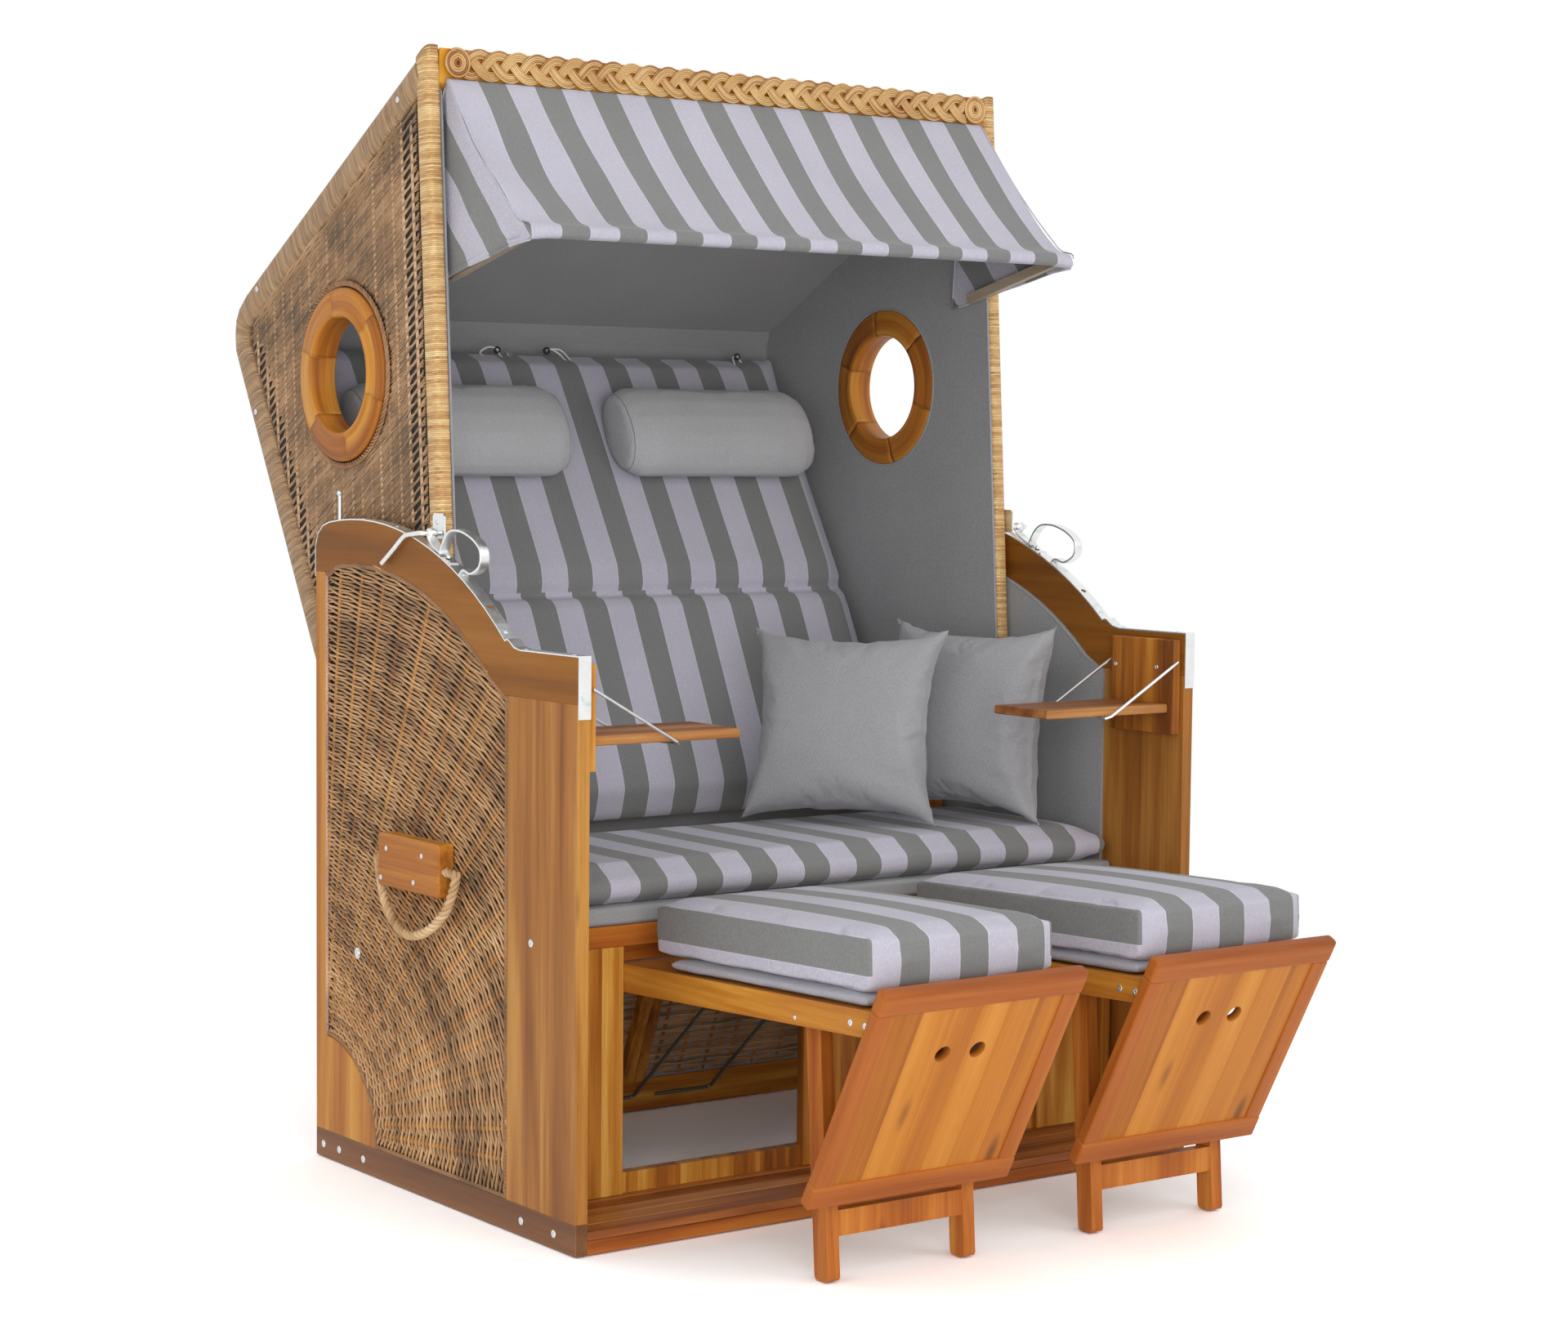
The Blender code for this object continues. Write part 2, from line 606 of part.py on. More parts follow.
def back_cushion():
    lengths = [math.dist(back[0], back[1]), math.dist(back[1], back[2])]
    total = sum(lengths)
    nx, ny = 22, 24
    bm = cushion_mesh((2 * BACK_HALF, total, BACK_T), 0.010, 0.45, nx, ny, power=9.0,
                      dip=[(-total / 2 + lengths[1], 0.016, 0.42)])
    bend = Vector((back[1][0], back[1][1]))
    up = (Vector(back[0]) - bend).normalized()
    down = (bend - Vector(back[2])).normalized()
    for v in bm.verts:
        run = v.co.y + total / 2 - lengths[1]
        way = up if run >= 0 else down
        mix = max(-1.0, min(1.0, run / 0.03))
        mean = (up * (1 + mix) + down * (1 - mix)).normalized()
        out = Vector((-mean.y, mean.x))
        base = bend + way * run - out * (BACK_T / 2)
        here = base + out * v.co.z
        v.co = Vector((v.co.x, here.x, here.y))
    return finish("back_cushion", "stripe", bm, smooth=True)


back_cushion()


def back_face(z):
    a, b = (back[0], back[1]) if z > back[1][1] else (back[1], back[2])
    t = (z - b[1]) / (a[1] - b[1])
    return b[0] + (a[0] - b[0]) * t


def bolster(name, x0, x1):
    nx, n = 14, 16
    ry, rz_ = 0.044, 0.078
    lean_a = math.atan2(back[0][0] - back[1][0], back[0][1] - back[1][1])
    cz = 1.114
    cy = back_face(cz) - (ry + 0.0103) / math.cos(lean_a)
    verts, faces = [], []
    for i in range(nx + 1):
        u = -1 + 2 * i / nx
        swell = max(1 - abs(u) ** 8, 0.0) ** 0.5 * 0.24 + 0.76
        x = (x0 + x1) / 2 + u * (x1 - x0) / 2
        for k in range(n):
            a = math.tau * k / n
            q = Vector((math.cos(a) * ry * swell, math.sin(a) * rz_ * swell))
            verts.append((x, cy + q.x * math.cos(lean_a) + q.y * math.sin(lean_a),
                          cz - q.x * math.sin(lean_a) + q.y * math.cos(lean_a)))
    for i in range(nx):
        for k in range(n):
            m = (k + 1) % n
            faces.append((i * n + k, i * n + m, (i + 1) * n + m, (i + 1) * n + k))
    faces.append(tuple(range(n)))
    faces.append(tuple(nx * n + k for k in reversed(range(n))))
    return finish(name, "grey", from_faces(verts, faces), smooth=True)


bolster("headrest_left", -0.441, -0.058)
bolster("headrest_right", 0.050, 0.433)


def pillow(name, centre, size, thick, lean_deg, turn_deg, tip_deg):
    bm = cushion_mesh((size, size, thick), 0.0, 0.06, 16, 16, power=2.4, corner=0.10, swell=0.001)
    obj = finish(name, "grey", bm, smooth=True)
    m = (Matrix.Translation(centre) @ Matrix.Rotation(math.radians(turn_deg), 4, "Z")
         @ Matrix.Rotation(math.radians(90 - lean_deg), 4, "X")
         @ Matrix.Rotation(math.radians(tip_deg), 4, "Z"))
    place(obj, m)
    tree = BVHTree.FromPolygons([v.co for v in seat.data.vertices],
                                [p.vertices for p in seat.data.polygons])
    above = Vector((0, 0, 0.5))
    points = [a.lerp(b, k / 6) for a, b in
              ([obj.data.vertices[i].co for i in e.vertices] for e in obj.data.edges) for k in range(6)]
    drops = [hit[3] for hit in (tree.ray_cast(p + above, (0, 0, -1)) for p in points) if hit[0]]
    own = BVHTree.FromPolygons([v.co for v in obj.data.vertices],
                               [p.vertices for p in obj.data.polygons])
    drops += [hit[3] for hit in (own.ray_cast(v.co - above, (0, 0, 1))
                                 for v in seat.data.vertices) if hit[0]]
    return place(obj, Matrix.Translation((0, 0, 0.5 + 2 * GAP - min(drops))))


pillow("pillow_left", (0.173, 0.379, 0.6675), 0.328, 0.100, 18.0, -50.5, 0.5)
pillow("pillow_right", (0.385, 0.334, 0.6690), 0.328, 0.096, 7.7, -75.6, 0.0)

# The awning

AWN_PIVOT = (0.4550, 1.338)
AWN_TIP = (0.240, 1.391)
ARM_X = 0.4865
arm_dir = (Vector(AWN_TIP) - Vector(AWN_PIVOT)).normalized()
arm_nrm = Vector((-arm_dir.y, arm_dir.x))
bars = []
for s, word in ((-1, "left"), (1, "right")):
    rear_end = Vector(AWN_PIVOT) - arm_dir * 0.010
    half_arm = 0.0078
    outline = [tuple(rear_end + arm_nrm * half_arm), tuple(rear_end - arm_nrm * half_arm)]
    outline += [tuple(Vector(AWN_TIP) + (arm_dir * math.sin(a) - arm_nrm * math.cos(a)) * half_arm)
                for a in [math.pi * k / 6 for k in range(7)]]
    bars.append(prism(f"awning_arm_{word}", "beech", outline,
                      *sorted((s * (ARM_X - 0.006), s * (ARM_X + 0.006)))))
bar = finish("awning_bar", "beech", tube_mesh([(-ARM_X, *AWN_TIP), (ARM_X, *AWN_TIP)], 0.0065, 12))
join(bars[0], bar, bars[1])
for s in (-1, 1):
    join(bars[0], finish("awning_pin", "steel", tube_mesh(
        [(s * ARM_X, *AWN_PIVOT), (s * (HOOD_IN - GAP), *AWN_PIVOT)], 0.0036, 12)))
bars[0].name = "awning_frame"
bars[0].data.name = "awning_frame"

CLOTH_T = 0.003


def cloth():
    tip = Vector(AWN_TIP) + Vector((-0.015, 0.006))
    start = Vector((rail_y0 - GAP - 0.0038, 1.6187))
    n = 7
    line = []
    for i in range(n + 1):
        t = i / n
        sag = 0.012 * math.sin(math.pi * t)
        p = start.lerp(tip, t)
        line.append(Vector((p.x + sag * 0.7, p.y - sag * 0.7)))
    line.append(tip + Vector((0.002, -0.014)))
    low_edge = [Vector((0.522, 1.320)), Vector((0.443, 1.330)), Vector((0.350, 1.346)),
                Vector((0.290, 1.357)), Vector((0.226, 1.374))]
    back_edge = [Vector((0.514, 1.430)), Vector((0.492, 1.560)), Vector((rail_y0 - GAP, 1.605)),
                 Vector((rail_y0 - GAP, 1.6187))]
    outer = [(p.x, p.y) for p in [start, *line[1:], *low_edge[::-1], *back_edge]]
    half = 0.4995
    body = finish("awning_cloth", "stripe", prism_mesh(outer, -half, half), smooth=False)
    shrink = offset_line([tuple(p) for p in line], CLOTH_T)
    inner = ([(shrink[0][0] + 0.02, shrink[0][1] + 0.02)] + shrink[1:-1]
             + [(shrink[-1][0], 1.30), (0.54, 1.28), (0.54, 1.64)])
    hollow = prism("awning_hollow", "stripe", inner, -half + CLOTH_T, half - CLOTH_T, cutter=True)
    cut(body, hollow)
    cut(body, finish("awning_eye", "stripe", tube_mesh(
        [(-0.6, *AWN_PIVOT), (0.6, *AWN_PIVOT)], 0.0045, 12), cutter=True))
    for v in body.data.vertices:
        t = (v.co.y - AWN_TIP[0]) / (start.x - AWN_TIP[0])
        v.co.x *= 0.9925 + 0.0135 * min(max(t, 0.0), 1.0)
    return body


cloth()

# The latches

strip_top = ARC_OUT + GAP + STRIP_T


def at_angle(r, a):
    return arc(PIVOT, r, a, a, 1)[0]


def latch(s, word):
    mid_x = s * (HALF - BOARD_T / 2)
    body = finish(f"latch_{word}", "steel", tube_mesh(
        [(mid_x - 0.008, *BAR_AT), (mid_x + 0.008, *BAR_AT)], 0.0075, 14))
    lever_line = [BAR_AT, at_angle(0.6560, 19.0), at_angle(0.6536, 20.6), at_angle(0.6532, 22.0)]
    up = offset_line(lever_line, 0.0014)
    dn = offset_line(lever_line, -0.0014)
    lever = prism(f"latch_lever_{word}", "steel", up + dn[::-1], mid_x - 0.008, mid_x + 0.008)
    outer = [at_angle(0.6521, 21.1), (0.3620, 0.9610), (0.3445, 0.9715), (0.3190, 0.9720), (0.2770, 0.9590),
             (0.2585, 0.9380), (0.2680, 0.9175), (0.2890, 0.9095), (0.3100, 0.9140), at_angle(0.6533, 24.2)]
    cx = sum(p[0] for p in outer) / len(outer)
    cz = sum(p[1] for p in outer) / len(outer)
    inner = []
    for p in outer:
        v = Vector((p[0] - cx, p[1] - cz))
        inner.append((cx + v.x * (1 - 0.0034 / v.length), cz + v.y * (1 - 0.0034 / v.length)))
    loop = prism(f"latch_loop_{word}", "steel", outer, mid_x - 0.0075, mid_x + 0.0075, holes=[inner])
    out = s * (HALF + 0.007)
    bar_path = [(s * (HOOD_HALF + PLATE_T + GAP), *BAR_AT), (s * (HALF + 0.001), *BAR_AT),
                (s * (HALF + 0.0055), BAR_AT[0] + 0.0015, BAR_AT[1]), (out, BAR_AT[0] + 0.006, BAR_AT[1]),
                (out, 0.452, 0.961), (out, 0.463, 0.956), (out, 0.526, 0.917)]
    rod = finish(f"latch_rod_{word}", "steel", tube_mesh(bar_path, 0.0038, 10))
    peg = finish(f"latch_peg_{word}", "steel", tube_mesh(
        [(mid_x, *at_angle(strip_top + 0.0007, LATCH_NOW)), (mid_x, *at_angle(0.6548, LATCH_NOW))],
        0.0034, 10))
    join(body, lever, loop, rod, peg)


for s, word in ((-1, "left"), (1, "right")):
    latch(s, word)

# The side tables


def table(s, word):
    def span(a, b):
        return (min(s * a, s * b), max(s * a, s * b))

    face = INNER - GAP - BRACKET_T
    box(f"table_bracket_{word}", "wood", span(face, INNER - GAP), (0.008, 0.150), (BRACKET_Z0, BRACKET_Z1),
        edge=0.0012)
    box(f"table_leaf_{word}", "wood", span(TABLE_END, face - GAP), (TABLE_Y0, TABLE_Y1),
        (TABLE_Z - TABLE_T, TABLE_Z), edge=0.0015)
    y0, y1 = 0.008 - STAY_R - 0.0003 + 0.001, 0.150 + STAY_R + 0.0003 - 0.001
    under = TABLE_Z - TABLE_T - STAY_R - GAP
    top_x, low_x, top_z = 0.5330, 0.391, 0.768
    path = [(s * top_x, y0 - 0.001, top_z), (s * (low_x + 0.006), y0 - 0.001, under + 0.003),
            (s * low_x, y0 + 0.004, under), (s * low_x, y1 - 0.004, under),
            (s * (low_x + 0.006), y1 + 0.001, under + 0.003), (s * top_x, y1 + 0.001, top_z)]
    tube(f"table_stay_{word}", "steel", path, STAY_R, 8)


for s, word in ((-1, "left"), (1, "right")):
    table(s, word)

# The footrests

panel_dir = (Vector(PANEL_BOTTOM) - Vector(PANEL_TOP)).normalized()
panel_back = Vector((-panel_dir.y, panel_dir.x))
PANEL_L = math.dist(PANEL_TOP, PANEL_BOTTOM)


def panel_point(down, back_off):
    p = Vector(PANEL_TOP) + panel_dir * down + panel_back * back_off
    return (p.x, p.y)


def back_of_panel(z):
    p0 = Vector(panel_point(0, PANEL_T + GAP))
    return p0.x + (p0.y - z) * panel_dir.x / -panel_dir.y


def footrest(s, word):
    xc = s * FOOT_X
    rail_top = lambda y: 0.361 + (0.200 - y) * 0.0348
    rail_low = lambda y: 0.3205 + (0.200 - y) * 0.0425
    front_top, front_low = 0.3826, 0.3465
    outline = [(0.200, 0.3205), (0.200, 0.361), (back_of_panel(front_top), front_top),
               (back_of_panel(front_low), front_low)]
    left = prism(f"footrest_frame_{word}", "wood", outline, xc - FOOT_HALF, xc - FOOT_HALF + FOOT_RAIL_T)
    right = prism(f"foot_rail_b_{word}", "wood", outline, xc + FOOT_HALF - FOOT_RAIL_T, xc + FOOT_HALF)
    board = [(0.200, 0.3525), (0.200, 0.361), (back_of_panel(front_top), front_top),
             (back_of_panel(front_top - 0.009), front_top - 0.009)]
    top = prism(f"foot_board_{word}", "wood", board, xc - FOOT_HALF + 0.004, xc + FOOT_HALF - 0.004)
    join(left, right, top)

    pad_y0, pad_y1 = -0.404, 0.045
    pad = finish(f"footrest_pad_{word}", "grey", cushion_mesh(
        (0.304, pad_y1 - pad_y0, 0.019), 0.0, 0.6, 10, 10, power=10.0), smooth=True)
    tilt = Matrix.Rotation(-math.atan(0.0348), 4, "X")
    pad_mid = (pad_y0 + pad_y1) / 2
    place(pad, Matrix.Translation((xc, pad_mid, rail_top(pad_mid) + 0.0100)) @ tilt)

    cy0, cy1 = -0.410, 0.083
    cushion = finish(f"footrest_cushion_{word}", "stripe", cushion_mesh(
        (0.306, cy1 - cy0, 0.073), 0.003, 0.90, 12, 16, power=14.0), smooth=True)
    c_mid = (cy0 + cy1) / 2
    place(cushion, Matrix.Translation((xc + 0.005, c_mid, rail_top(c_mid) + 0.0195 + GAP + 0.0365)) @ tilt)

    half = PANEL_W / 2
    face = [panel_point(0.004, 0.0), panel_point(0.0, 0.005), panel_point(0.0, PANEL_T - 0.004),
            panel_point(0.003, PANEL_T), panel_point(PANEL_L - 0.001, PANEL_T),
            panel_point(PANEL_L, PANEL_T - 0.003), panel_point(PANEL_L - 0.002, 0.0)]
    panel = prism(f"footrest_panel_{word}", "wood", face, xc - half, xc + half)
    rim = 0.036
    recess = [panel_point(rim, -0.01), panel_point(rim, 0.004), panel_point(PANEL_L - rim, 0.004),
              panel_point(PANEL_L - rim, -0.01)]
    cut(panel, prism(f"recess_{word}", "wood", recess, xc - half + rim, xc + half - rim, cutter=True))
    for k in (-1, 1):
        ends = [panel_point(0.111, -0.02), panel_point(0.111, PANEL_T + 0.02)]
        hx = xc - 0.004 + k * 0.029
        cut(panel, finish(f"finger_{word}_{k}", "wood", tube_mesh(
            [(hx, *ends[0]), (hx, *ends[1])], 0.0115, 16), cutter=True))

    lean_back = Vector((LEG_PIVOT[0] + 0.0, LEG_PIVOT[1]))
    foot = Vector((-0.2800, 0.0))
    along = (foot - lean_back).normalized()
    side_v = Vector((-along.y, along.x))
    head = [tuple(lean_back + (side_v * math.cos(a) - along * math.sin(a)) * LEG_D / 2)
            for a in [math.pi * k / 6 for k in range(7)]]
    legs = []
    r = 0.006
    toe = [(lean_back + along * 0.34 - side_v * LEG_D / 2), (lean_back + along * 0.34 + side_v * LEG_D / 2)]
    low = [(toe[0].x - 0.0006, r), (toe[0].x + 0.0015, 0.0018), (toe[0].x + r, 0.0),
           (toe[1].x - r, 0.0), (toe[1].x - 0.0030, 0.0018), (toe[1].x - 0.0012, r)]
    if head[0][0] > head[-1][0]:
        leg_outline = head[::-1] + low[::-1]
    else:
        leg_outline = head + low[::-1]
    leg_outline = head + [(low[0]), (low[1]), (low[2]), (low[3]), (low[4]), (low[5])]
    for k in (-1, 1):
        a, b = sorted((xc + k * 0.105, xc + k * 0.125))
        legs.append(prism(f"foot_leg_{word}_{k}", "wood", leg_outline, a, b))
        ends = [xc + k * 0.115, xc + k * (FOOT_HALF - FOOT_RAIL_T - GAP)]
        legs.append(finish(f"foot_pin_{word}_{k}", "steel",
                           tube_mesh([(e, *LEG_PIVOT) for e in ends], 0.0042, 12)))
    rail_y = lean_back.x + along.x / -along.y * (LEG_PIVOT[1] - 0.076)
    rail = box(f"leg_rail_{word}", "wood", (xc - 0.110, xc + 0.110), (rail_y - 0.0145, rail_y + 0.002),
               (0.059, 0.094))
    join(legs[0], legs[1], rail, legs[3], legs[2])
    legs[0].name = f"footrest_legs_{word}"
    legs[0].data.name = legs[0].name


for s, word in ((-1, "left"), (1, "right")):
    footrest(s, word)

for obj in list(parts.objects) + list(cutters.objects):
    obj.data.transform(Matrix.Translation((0, -ORIGIN_Y, 0)))
    obj.data.update()

for obj in parts.objects:
    obj.data.materials.clear()
    kind = "wood"
    n = obj.name
    for key, what in (("wicker", "wicker"), ("shell", "wicker"), ("hood_frame", "cane"), ("braid", "cane"),
                      ("strip", "steel"), ("stop", "steel"), ("latch", "steel"), ("stay", "steel"),
                      ("brace", "dark_steel"), ("rope", "rope"), ("awning_frame", "beech"),
                      ("cushion", "stripe"), ("cloth", "stripe"), ("headrest", "grey"), ("pillow", "grey"),
                      ("pad", "grey"), ("seat_board", "grey")):
        if key in n:
            kind = what
    obj.data.materials.append(material(kind, n + "_skin"))
print("objects", len(parts.objects))
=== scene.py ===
"""Looks for a hooded beach chair: woven sides, striped cushions, oiled wood, in a plain pale studio."""
import math
import random

import bmesh
import bpy
from mathutils import Matrix, Vector
from mathutils.bvhtree import BVHTree


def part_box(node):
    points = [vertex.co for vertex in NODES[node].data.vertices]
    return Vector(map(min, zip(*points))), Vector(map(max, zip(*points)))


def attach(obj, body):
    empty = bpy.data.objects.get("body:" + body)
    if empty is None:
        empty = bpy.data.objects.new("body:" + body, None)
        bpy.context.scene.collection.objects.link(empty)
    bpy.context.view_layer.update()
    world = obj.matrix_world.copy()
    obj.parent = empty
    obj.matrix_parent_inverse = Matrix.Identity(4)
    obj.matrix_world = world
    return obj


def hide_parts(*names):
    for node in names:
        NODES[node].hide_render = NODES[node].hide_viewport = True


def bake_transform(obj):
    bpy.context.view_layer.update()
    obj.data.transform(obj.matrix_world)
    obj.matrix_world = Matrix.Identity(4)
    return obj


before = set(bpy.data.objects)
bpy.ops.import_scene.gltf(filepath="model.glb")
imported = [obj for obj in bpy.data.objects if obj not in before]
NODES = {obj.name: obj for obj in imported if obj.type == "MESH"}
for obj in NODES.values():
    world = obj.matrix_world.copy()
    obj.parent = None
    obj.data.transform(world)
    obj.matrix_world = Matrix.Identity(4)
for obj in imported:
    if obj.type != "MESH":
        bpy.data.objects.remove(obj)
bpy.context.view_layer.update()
dice = random.Random(11)
SIDES = ((-1, "left"), (1, "right"))

MM = 0.001
DEPTH_SHIFT = 23 * MM          # depths below are measured from the front of the box sides


def at(x, y, z):
    """A point by its place across, its depth behind the box front, and its height."""
    return Vector((x, y - DEPTH_SHIFT, z))


def rgb(*levels):
    """A linear colour from one written in 0 to 255."""
    shares = [level / 255 for level in levels]
    return (*(c / 12.92 if c < 0.04045 else ((c + 0.055) / 1.055) ** 2.4 for c in shares), 1.0)


def both(make):
    """Runs a maker for the left side, then for the right."""
    for s, word in SIDES:
        make(s, word)
    return make


# Camera, at the photograph's place

CAMERA_AT = Vector((-2.782, -3.528, 1.100))
CAMERA_AZIMUTH, CAMERA_ELEVATION, CAMERA_ROLL = (math.radians(a) for a in (-36.15, 4.13, 0.56))
CAMERA_LENS, CAMERA_SENSOR, CAMERA_REACH = 71.68, 36.0, 60.0


def make_camera():
    data = bpy.data.cameras.new("view_camera")
    data.sensor_width, data.lens, data.clip_end = CAMERA_SENSOR, CAMERA_LENS, CAMERA_REACH
    cam = bpy.data.objects.new("view_camera", data)
    bpy.context.scene.collection.objects.link(cam)
    back = Vector((math.sin(CAMERA_AZIMUTH) * math.cos(CAMERA_ELEVATION),
                   -math.cos(CAMERA_AZIMUTH) * math.cos(CAMERA_ELEVATION), math.sin(CAMERA_ELEVATION)))
    right = (-back).cross(Vector((0, 0, 1))).normalized()
    up = right.cross(-back)
    cos, sin = math.cos(CAMERA_ROLL), math.sin(CAMERA_ROLL)
    turned = Matrix((right * cos + up * sin, up * cos - right * sin, back)).transposed().to_4x4()
    turned.translation = CAMERA_AT
    cam.matrix_world = turned
    bpy.context.scene.camera = cam


make_camera()


# Node materials

class Wire:
    """A node's output. Each sign of arithmetic on it adds a Math node to its material."""

    def __init__(self, shade, socket):
        self.shade, self.socket = shade, socket

    def __add__(self, other):
        return self.shade.math("ADD", self, other)

    def __sub__(self, other):
        return self.shade.math("SUBTRACT", self, other)

    def __rsub__(self, other):
        return self.shade.math("SUBTRACT", other, self)

    def __mul__(self, other):
        return self.shade.math("MULTIPLY", self, other)

    def __truediv__(self, other):
        return self.shade.math("DIVIDE", self, other)

    def __lt__(self, other):
        return self.shade.math("LESS_THAN", self, other)

    def __gt__(self, other):
        return self.shade.math("GREATER_THAN", self, other)

    def __abs__(self):
        return self.shade.math("ABSOLUTE", self)


class Shade:
    """A node material, with short calls for the nodes used here."""

    def __init__(self, name, rough=0.5, metal=0.0, **sockets):
        self.mat = bpy.data.materials.new(name)
        self.mat.use_nodes = True
        self.tree = self.mat.node_tree
        self.bsdf = self.tree.nodes["Principled BSDF"]
        self.bsdf.inputs["Roughness"].default_value = rough
        self.bsdf.inputs["Metallic"].default_value = metal
        for key, value in sockets.items():
            self.bsdf.inputs[key.replace("_", " ")].default_value = value

    def add(self, kind, inputs=None, out=0, **props):
        """Adds a node and gives one of its outputs."""
        node = self.tree.nodes.new("ShaderNode" + kind)
        for key, value in props.items():
            setattr(node, key, value)
        for key, value in (inputs or {}).items():
            self.put(node.inputs[key], value)
        return Wire(self, node.outputs[out])

    def put(self, socket, value):
        if isinstance(value, Wire):
            self.tree.links.new(value.socket, socket)
        else:
            socket.default_value = value

    def math(self, op, a, b=0.0):
        return self.add("Math", {0: a, 1: b}, operation=op)

    def vmath(self, op, a, b=(0, 0, 0)):
        return self.add("VectorMath", {0: a, 1: b}, "Value" if op in ("DOT_PRODUCT", "LENGTH") else "Vector",
                        operation=op)

    def fraction(self, value):
        return self.math("FRACT", value)

    def floor(self, value):
        return self.math("FLOOR", value)

    def mix(self, fac, a, b, blend="MIX"):
        return self.add("Mix", {0: fac, 6: a, 7: b}, 2, data_type="RGBA", blend_type=blend)

    def ramp(self, fac, stops, ease="LINEAR"):
        made = self.add("ValToRGB", {0: fac})
        bar = made.socket.node.color_ramp
        bar.interpolation = ease
        while len(bar.elements) < len(stops):
            bar.elements.new(0.5)
        for part, (place, colour) in zip(bar.elements, stops):
            part.position = place
            part.color = colour if hasattr(colour, "__len__") else (colour, colour, colour, 1.0)
        return made

    def tones(self, fac, places, colours):
        return self.ramp(fac, tuple(zip(places, colours)))

    def where(self, kind="Object"):
        return self.add("TexCoord", out=kind)

    def split(self, vector):
        x = self.add("SeparateXYZ", {0: vector})
        return [Wire(self, socket) for socket in x.socket.node.outputs]

    def join(self, x, y, z=0.0):
        return self.add("CombineXYZ", {0: x, 1: y, 2: z})

    def noise(self, vector, scale=1.0, detail=2.0, rough=0.5, warp=0.0):
        """Noise at a scale, which is one number or one for each axis."""
        if hasattr(scale, "__len__"):
            vector, scale = self.vmath("MULTIPLY", vector, scale), 1.0
        return self.add("TexNoise", {"Vector": vector, "Scale": scale, "Detail": detail, "Roughness": rough,
                                     "Distortion": warp}, "Fac")

    def chance(self, number):
        """A random value of its own for each whole number."""
        return self.add("TexWhiteNoise", {"W": number}, noise_dimensions="1D")

    def bump(self, height, distance, strength=1.0):
        return self.add("Bump", {"Height": height, "Distance": distance, "Strength": strength})

    def finish(self, colour, normal=None, rough=None):
        for key, value in (("Base Color", colour), ("Normal", normal), ("Roughness", rough)):
            if value is not None:
                self.put(self.bsdf.inputs[key], value)
        return self.mat


# Tones of each wood, from its dark streaks to its light ones
WOOD_TONES = {
    "golden": ((116, 64, 24), (170, 102, 34), (196, 132, 48), (224, 170, 80)),
    "orange": ((128, 62, 24), (168, 92, 32), (188, 112, 42), (212, 144, 64)),
    "rail": ((88, 48, 14), (124, 74, 20), (142, 88, 26), (160, 106, 40)),
    "plank": ((96, 54, 20), (140, 86, 33), (162, 104, 43), (188, 134, 64)),
    "amber": ((136, 74, 22), (178, 106, 32), (196, 124, 42), (214, 148, 62)),
    "rim": ((128, 62, 20), (164, 88, 30), (180, 104, 38), (200, 132, 60)),
    "brown": ((78, 48, 32), (112, 72, 44), (130, 86, 54), (152, 106, 68)),
    "deck": ((116, 62, 34), (168, 100, 50), (194, 126, 64), (220, 158, 88)),
    "table": ((100, 58, 28), (136, 82, 42), (156, 100, 54), (190, 136, 78)),
    "honey": ((150, 84, 22), (196, 124, 28), (214, 146, 40), (232, 176, 72)),
    "taupe": ((120, 104, 86), (150, 134, 114), (164, 148, 128), (182, 168, 148)),
}
WOOD_STEPS = (0.14, 0.40, 0.60, 0.86)
KNOT_BROWN = rgb(70, 36, 18)
PORE, EDGE_HIGHLIGHT_RADIUS = 0.35 * MM, 1.6 * MM


